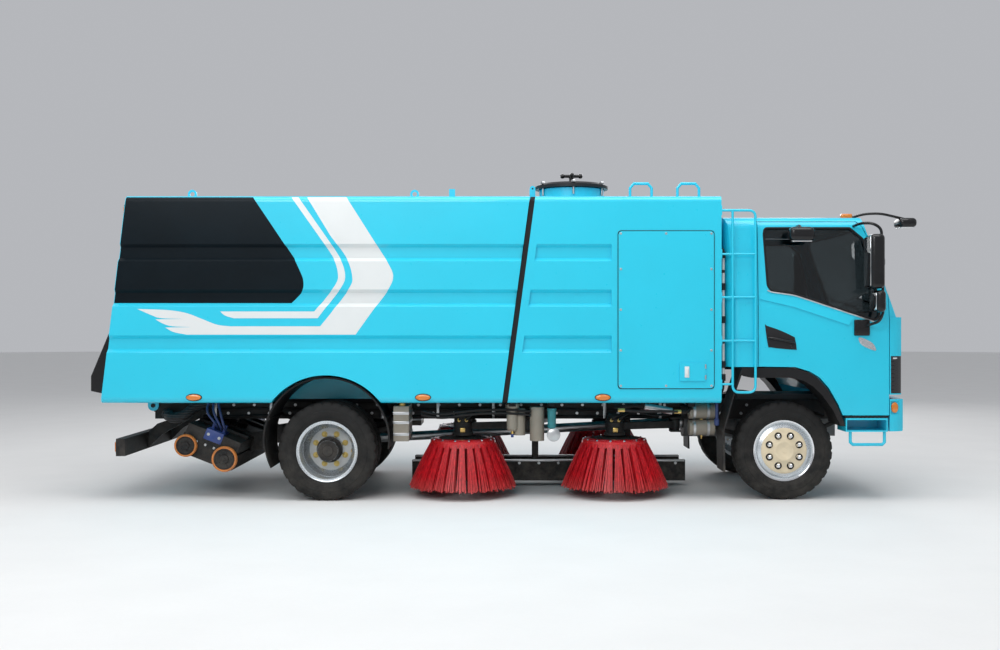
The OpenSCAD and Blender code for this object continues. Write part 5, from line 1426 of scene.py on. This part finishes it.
# duct bellows between the fixed elbow and the moving nozzle
top, port = Vector((REAR_AXLE - 1.140, 0, 0.712)), lifted(-0.960, 0, 0.318)
bm = bmesh.new()
line = [top + Vector((0, 0, 0.01)), top.lerp(port, 0.3) + Vector((-0.02, 0, -0.02)),
        top.lerp(port, 0.7) + Vector((-0.02, 0, -0.03)), port]
tube(bm, line, lambda t: 0.103 + 0.006 * math.sin(t * math.tau * 7), bend=0.08, sides=40, steps=12)
duct = mesh_object("duct_bellows", bm, LOOK["bellows"])
for polygon in duct.data.polygons:
    polygon.use_smooth = True
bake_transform(duct)

# lift hoses and the big side hose behind the rear wheels
for side_name, side in SIDES.items():
    bm = bmesh.new()
    for k, dx in enumerate((-0.945, -0.905, -0.865)):
        low = lifted(dx, side * 0.80, 0.31)
        tube(bm, [(REAR_AXLE + dx - 0.12, side * 0.82, 0.826),
                  (REAR_AXLE + dx - 0.13 + 0.02 * k, side * 0.87, 0.74),
                  (low.x - 0.01, side * 0.86, low.z + 0.06), tuple(low)],
             0.011, bend=0.08, sides=10, steps=8)
    hoses = mesh_object(f"lift_hoses_{side_name}", bm, LOOK["hose_blue"])
    for polygon in hoses.data.polygons:
        polygon.use_smooth = True
    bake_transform(hoses)
    bm = bmesh.new()
    tube(bm, [(REAR_AXLE - 1.10, side * 0.62, 0.800), (REAR_AXLE - 1.22, side * 0.66, 0.780),
              (REAR_AXLE - 1.30, side * 0.70, 0.700),
              (REAR_AXLE - 1.42, side * 0.66, 0.665), (REAR_AXLE - 1.52, side * 0.50, 0.70)], 0.046,
              bend=0.12, sides=28, steps=10)
    for spot, direction in (((REAR_AXLE - 1.12, side * 0.625, 0.797), (1, 0, 0.2)),
                            ((REAR_AXLE - 1.50, side * 0.53, 0.694), (-0.5, -side, 0.2))):
        lathe(bm, [(0.047, -0.014), (0.053, -0.012), (0.053, 0.012), (0.047, 0.014)], spot,
              direction, 28)
    piece(f"side_hose_{side_name}", bm, "bellows", "chassis")

# gland rings of the tipping cylinders and a small block near each foot
foot, anchor = Vector((REAR_AXLE - 1.150, 0, 0.700)), Vector((REAR_AXLE + 0.150, 0, 0.790))
along = (anchor - foot).normalized()
bm = bmesh.new()
for y in (-0.25, 0.25):
    lathe(bm, [(0.0425, -0.045), (0.047, -0.042), (0.047, -0.004), (0.040, 0.002), (0.0275, 0.004)],
          foot + along * 0.9 + Vector((0, y, 0)), along, 36, close=False)
    box(bm, foot + Vector((0.10, y - 0.012, 0.035)), foot + Vector((0.14, y + 0.012, 0.068)), 0.004)
piece("tip_cylinder_glands", bm, "steel", "tip_barrels")

# black grip treads of the steps, and the rubber edges of the rear arches
for side_name, side in SIDES.items():
    bm = bmesh.new()
    for k in range(9):
        x = FRONT_AXLE + 0.530 + k * 0.035
        box(bm, (x - 0.008, side * 0.880, 0.7055), (x + 0.008, side * 1.080, 0.7100), 0.0015)
    piece(f"step_treads_{side_name}", bm, "rubber", "chassis")
    bm = bmesh.new()
    tube(bm, [(REAR_AXLE + 0.532 * math.cos(a), side * 1.1015, 0.517 + 0.532 * math.sin(a))
              for a in (math.radians(-8 + 7 * k) for k in range(29))], 0.009, bend=0.01, sides=10)
    piece(f"arch_edge_{side_name}", bm, "rubber", "chassis")
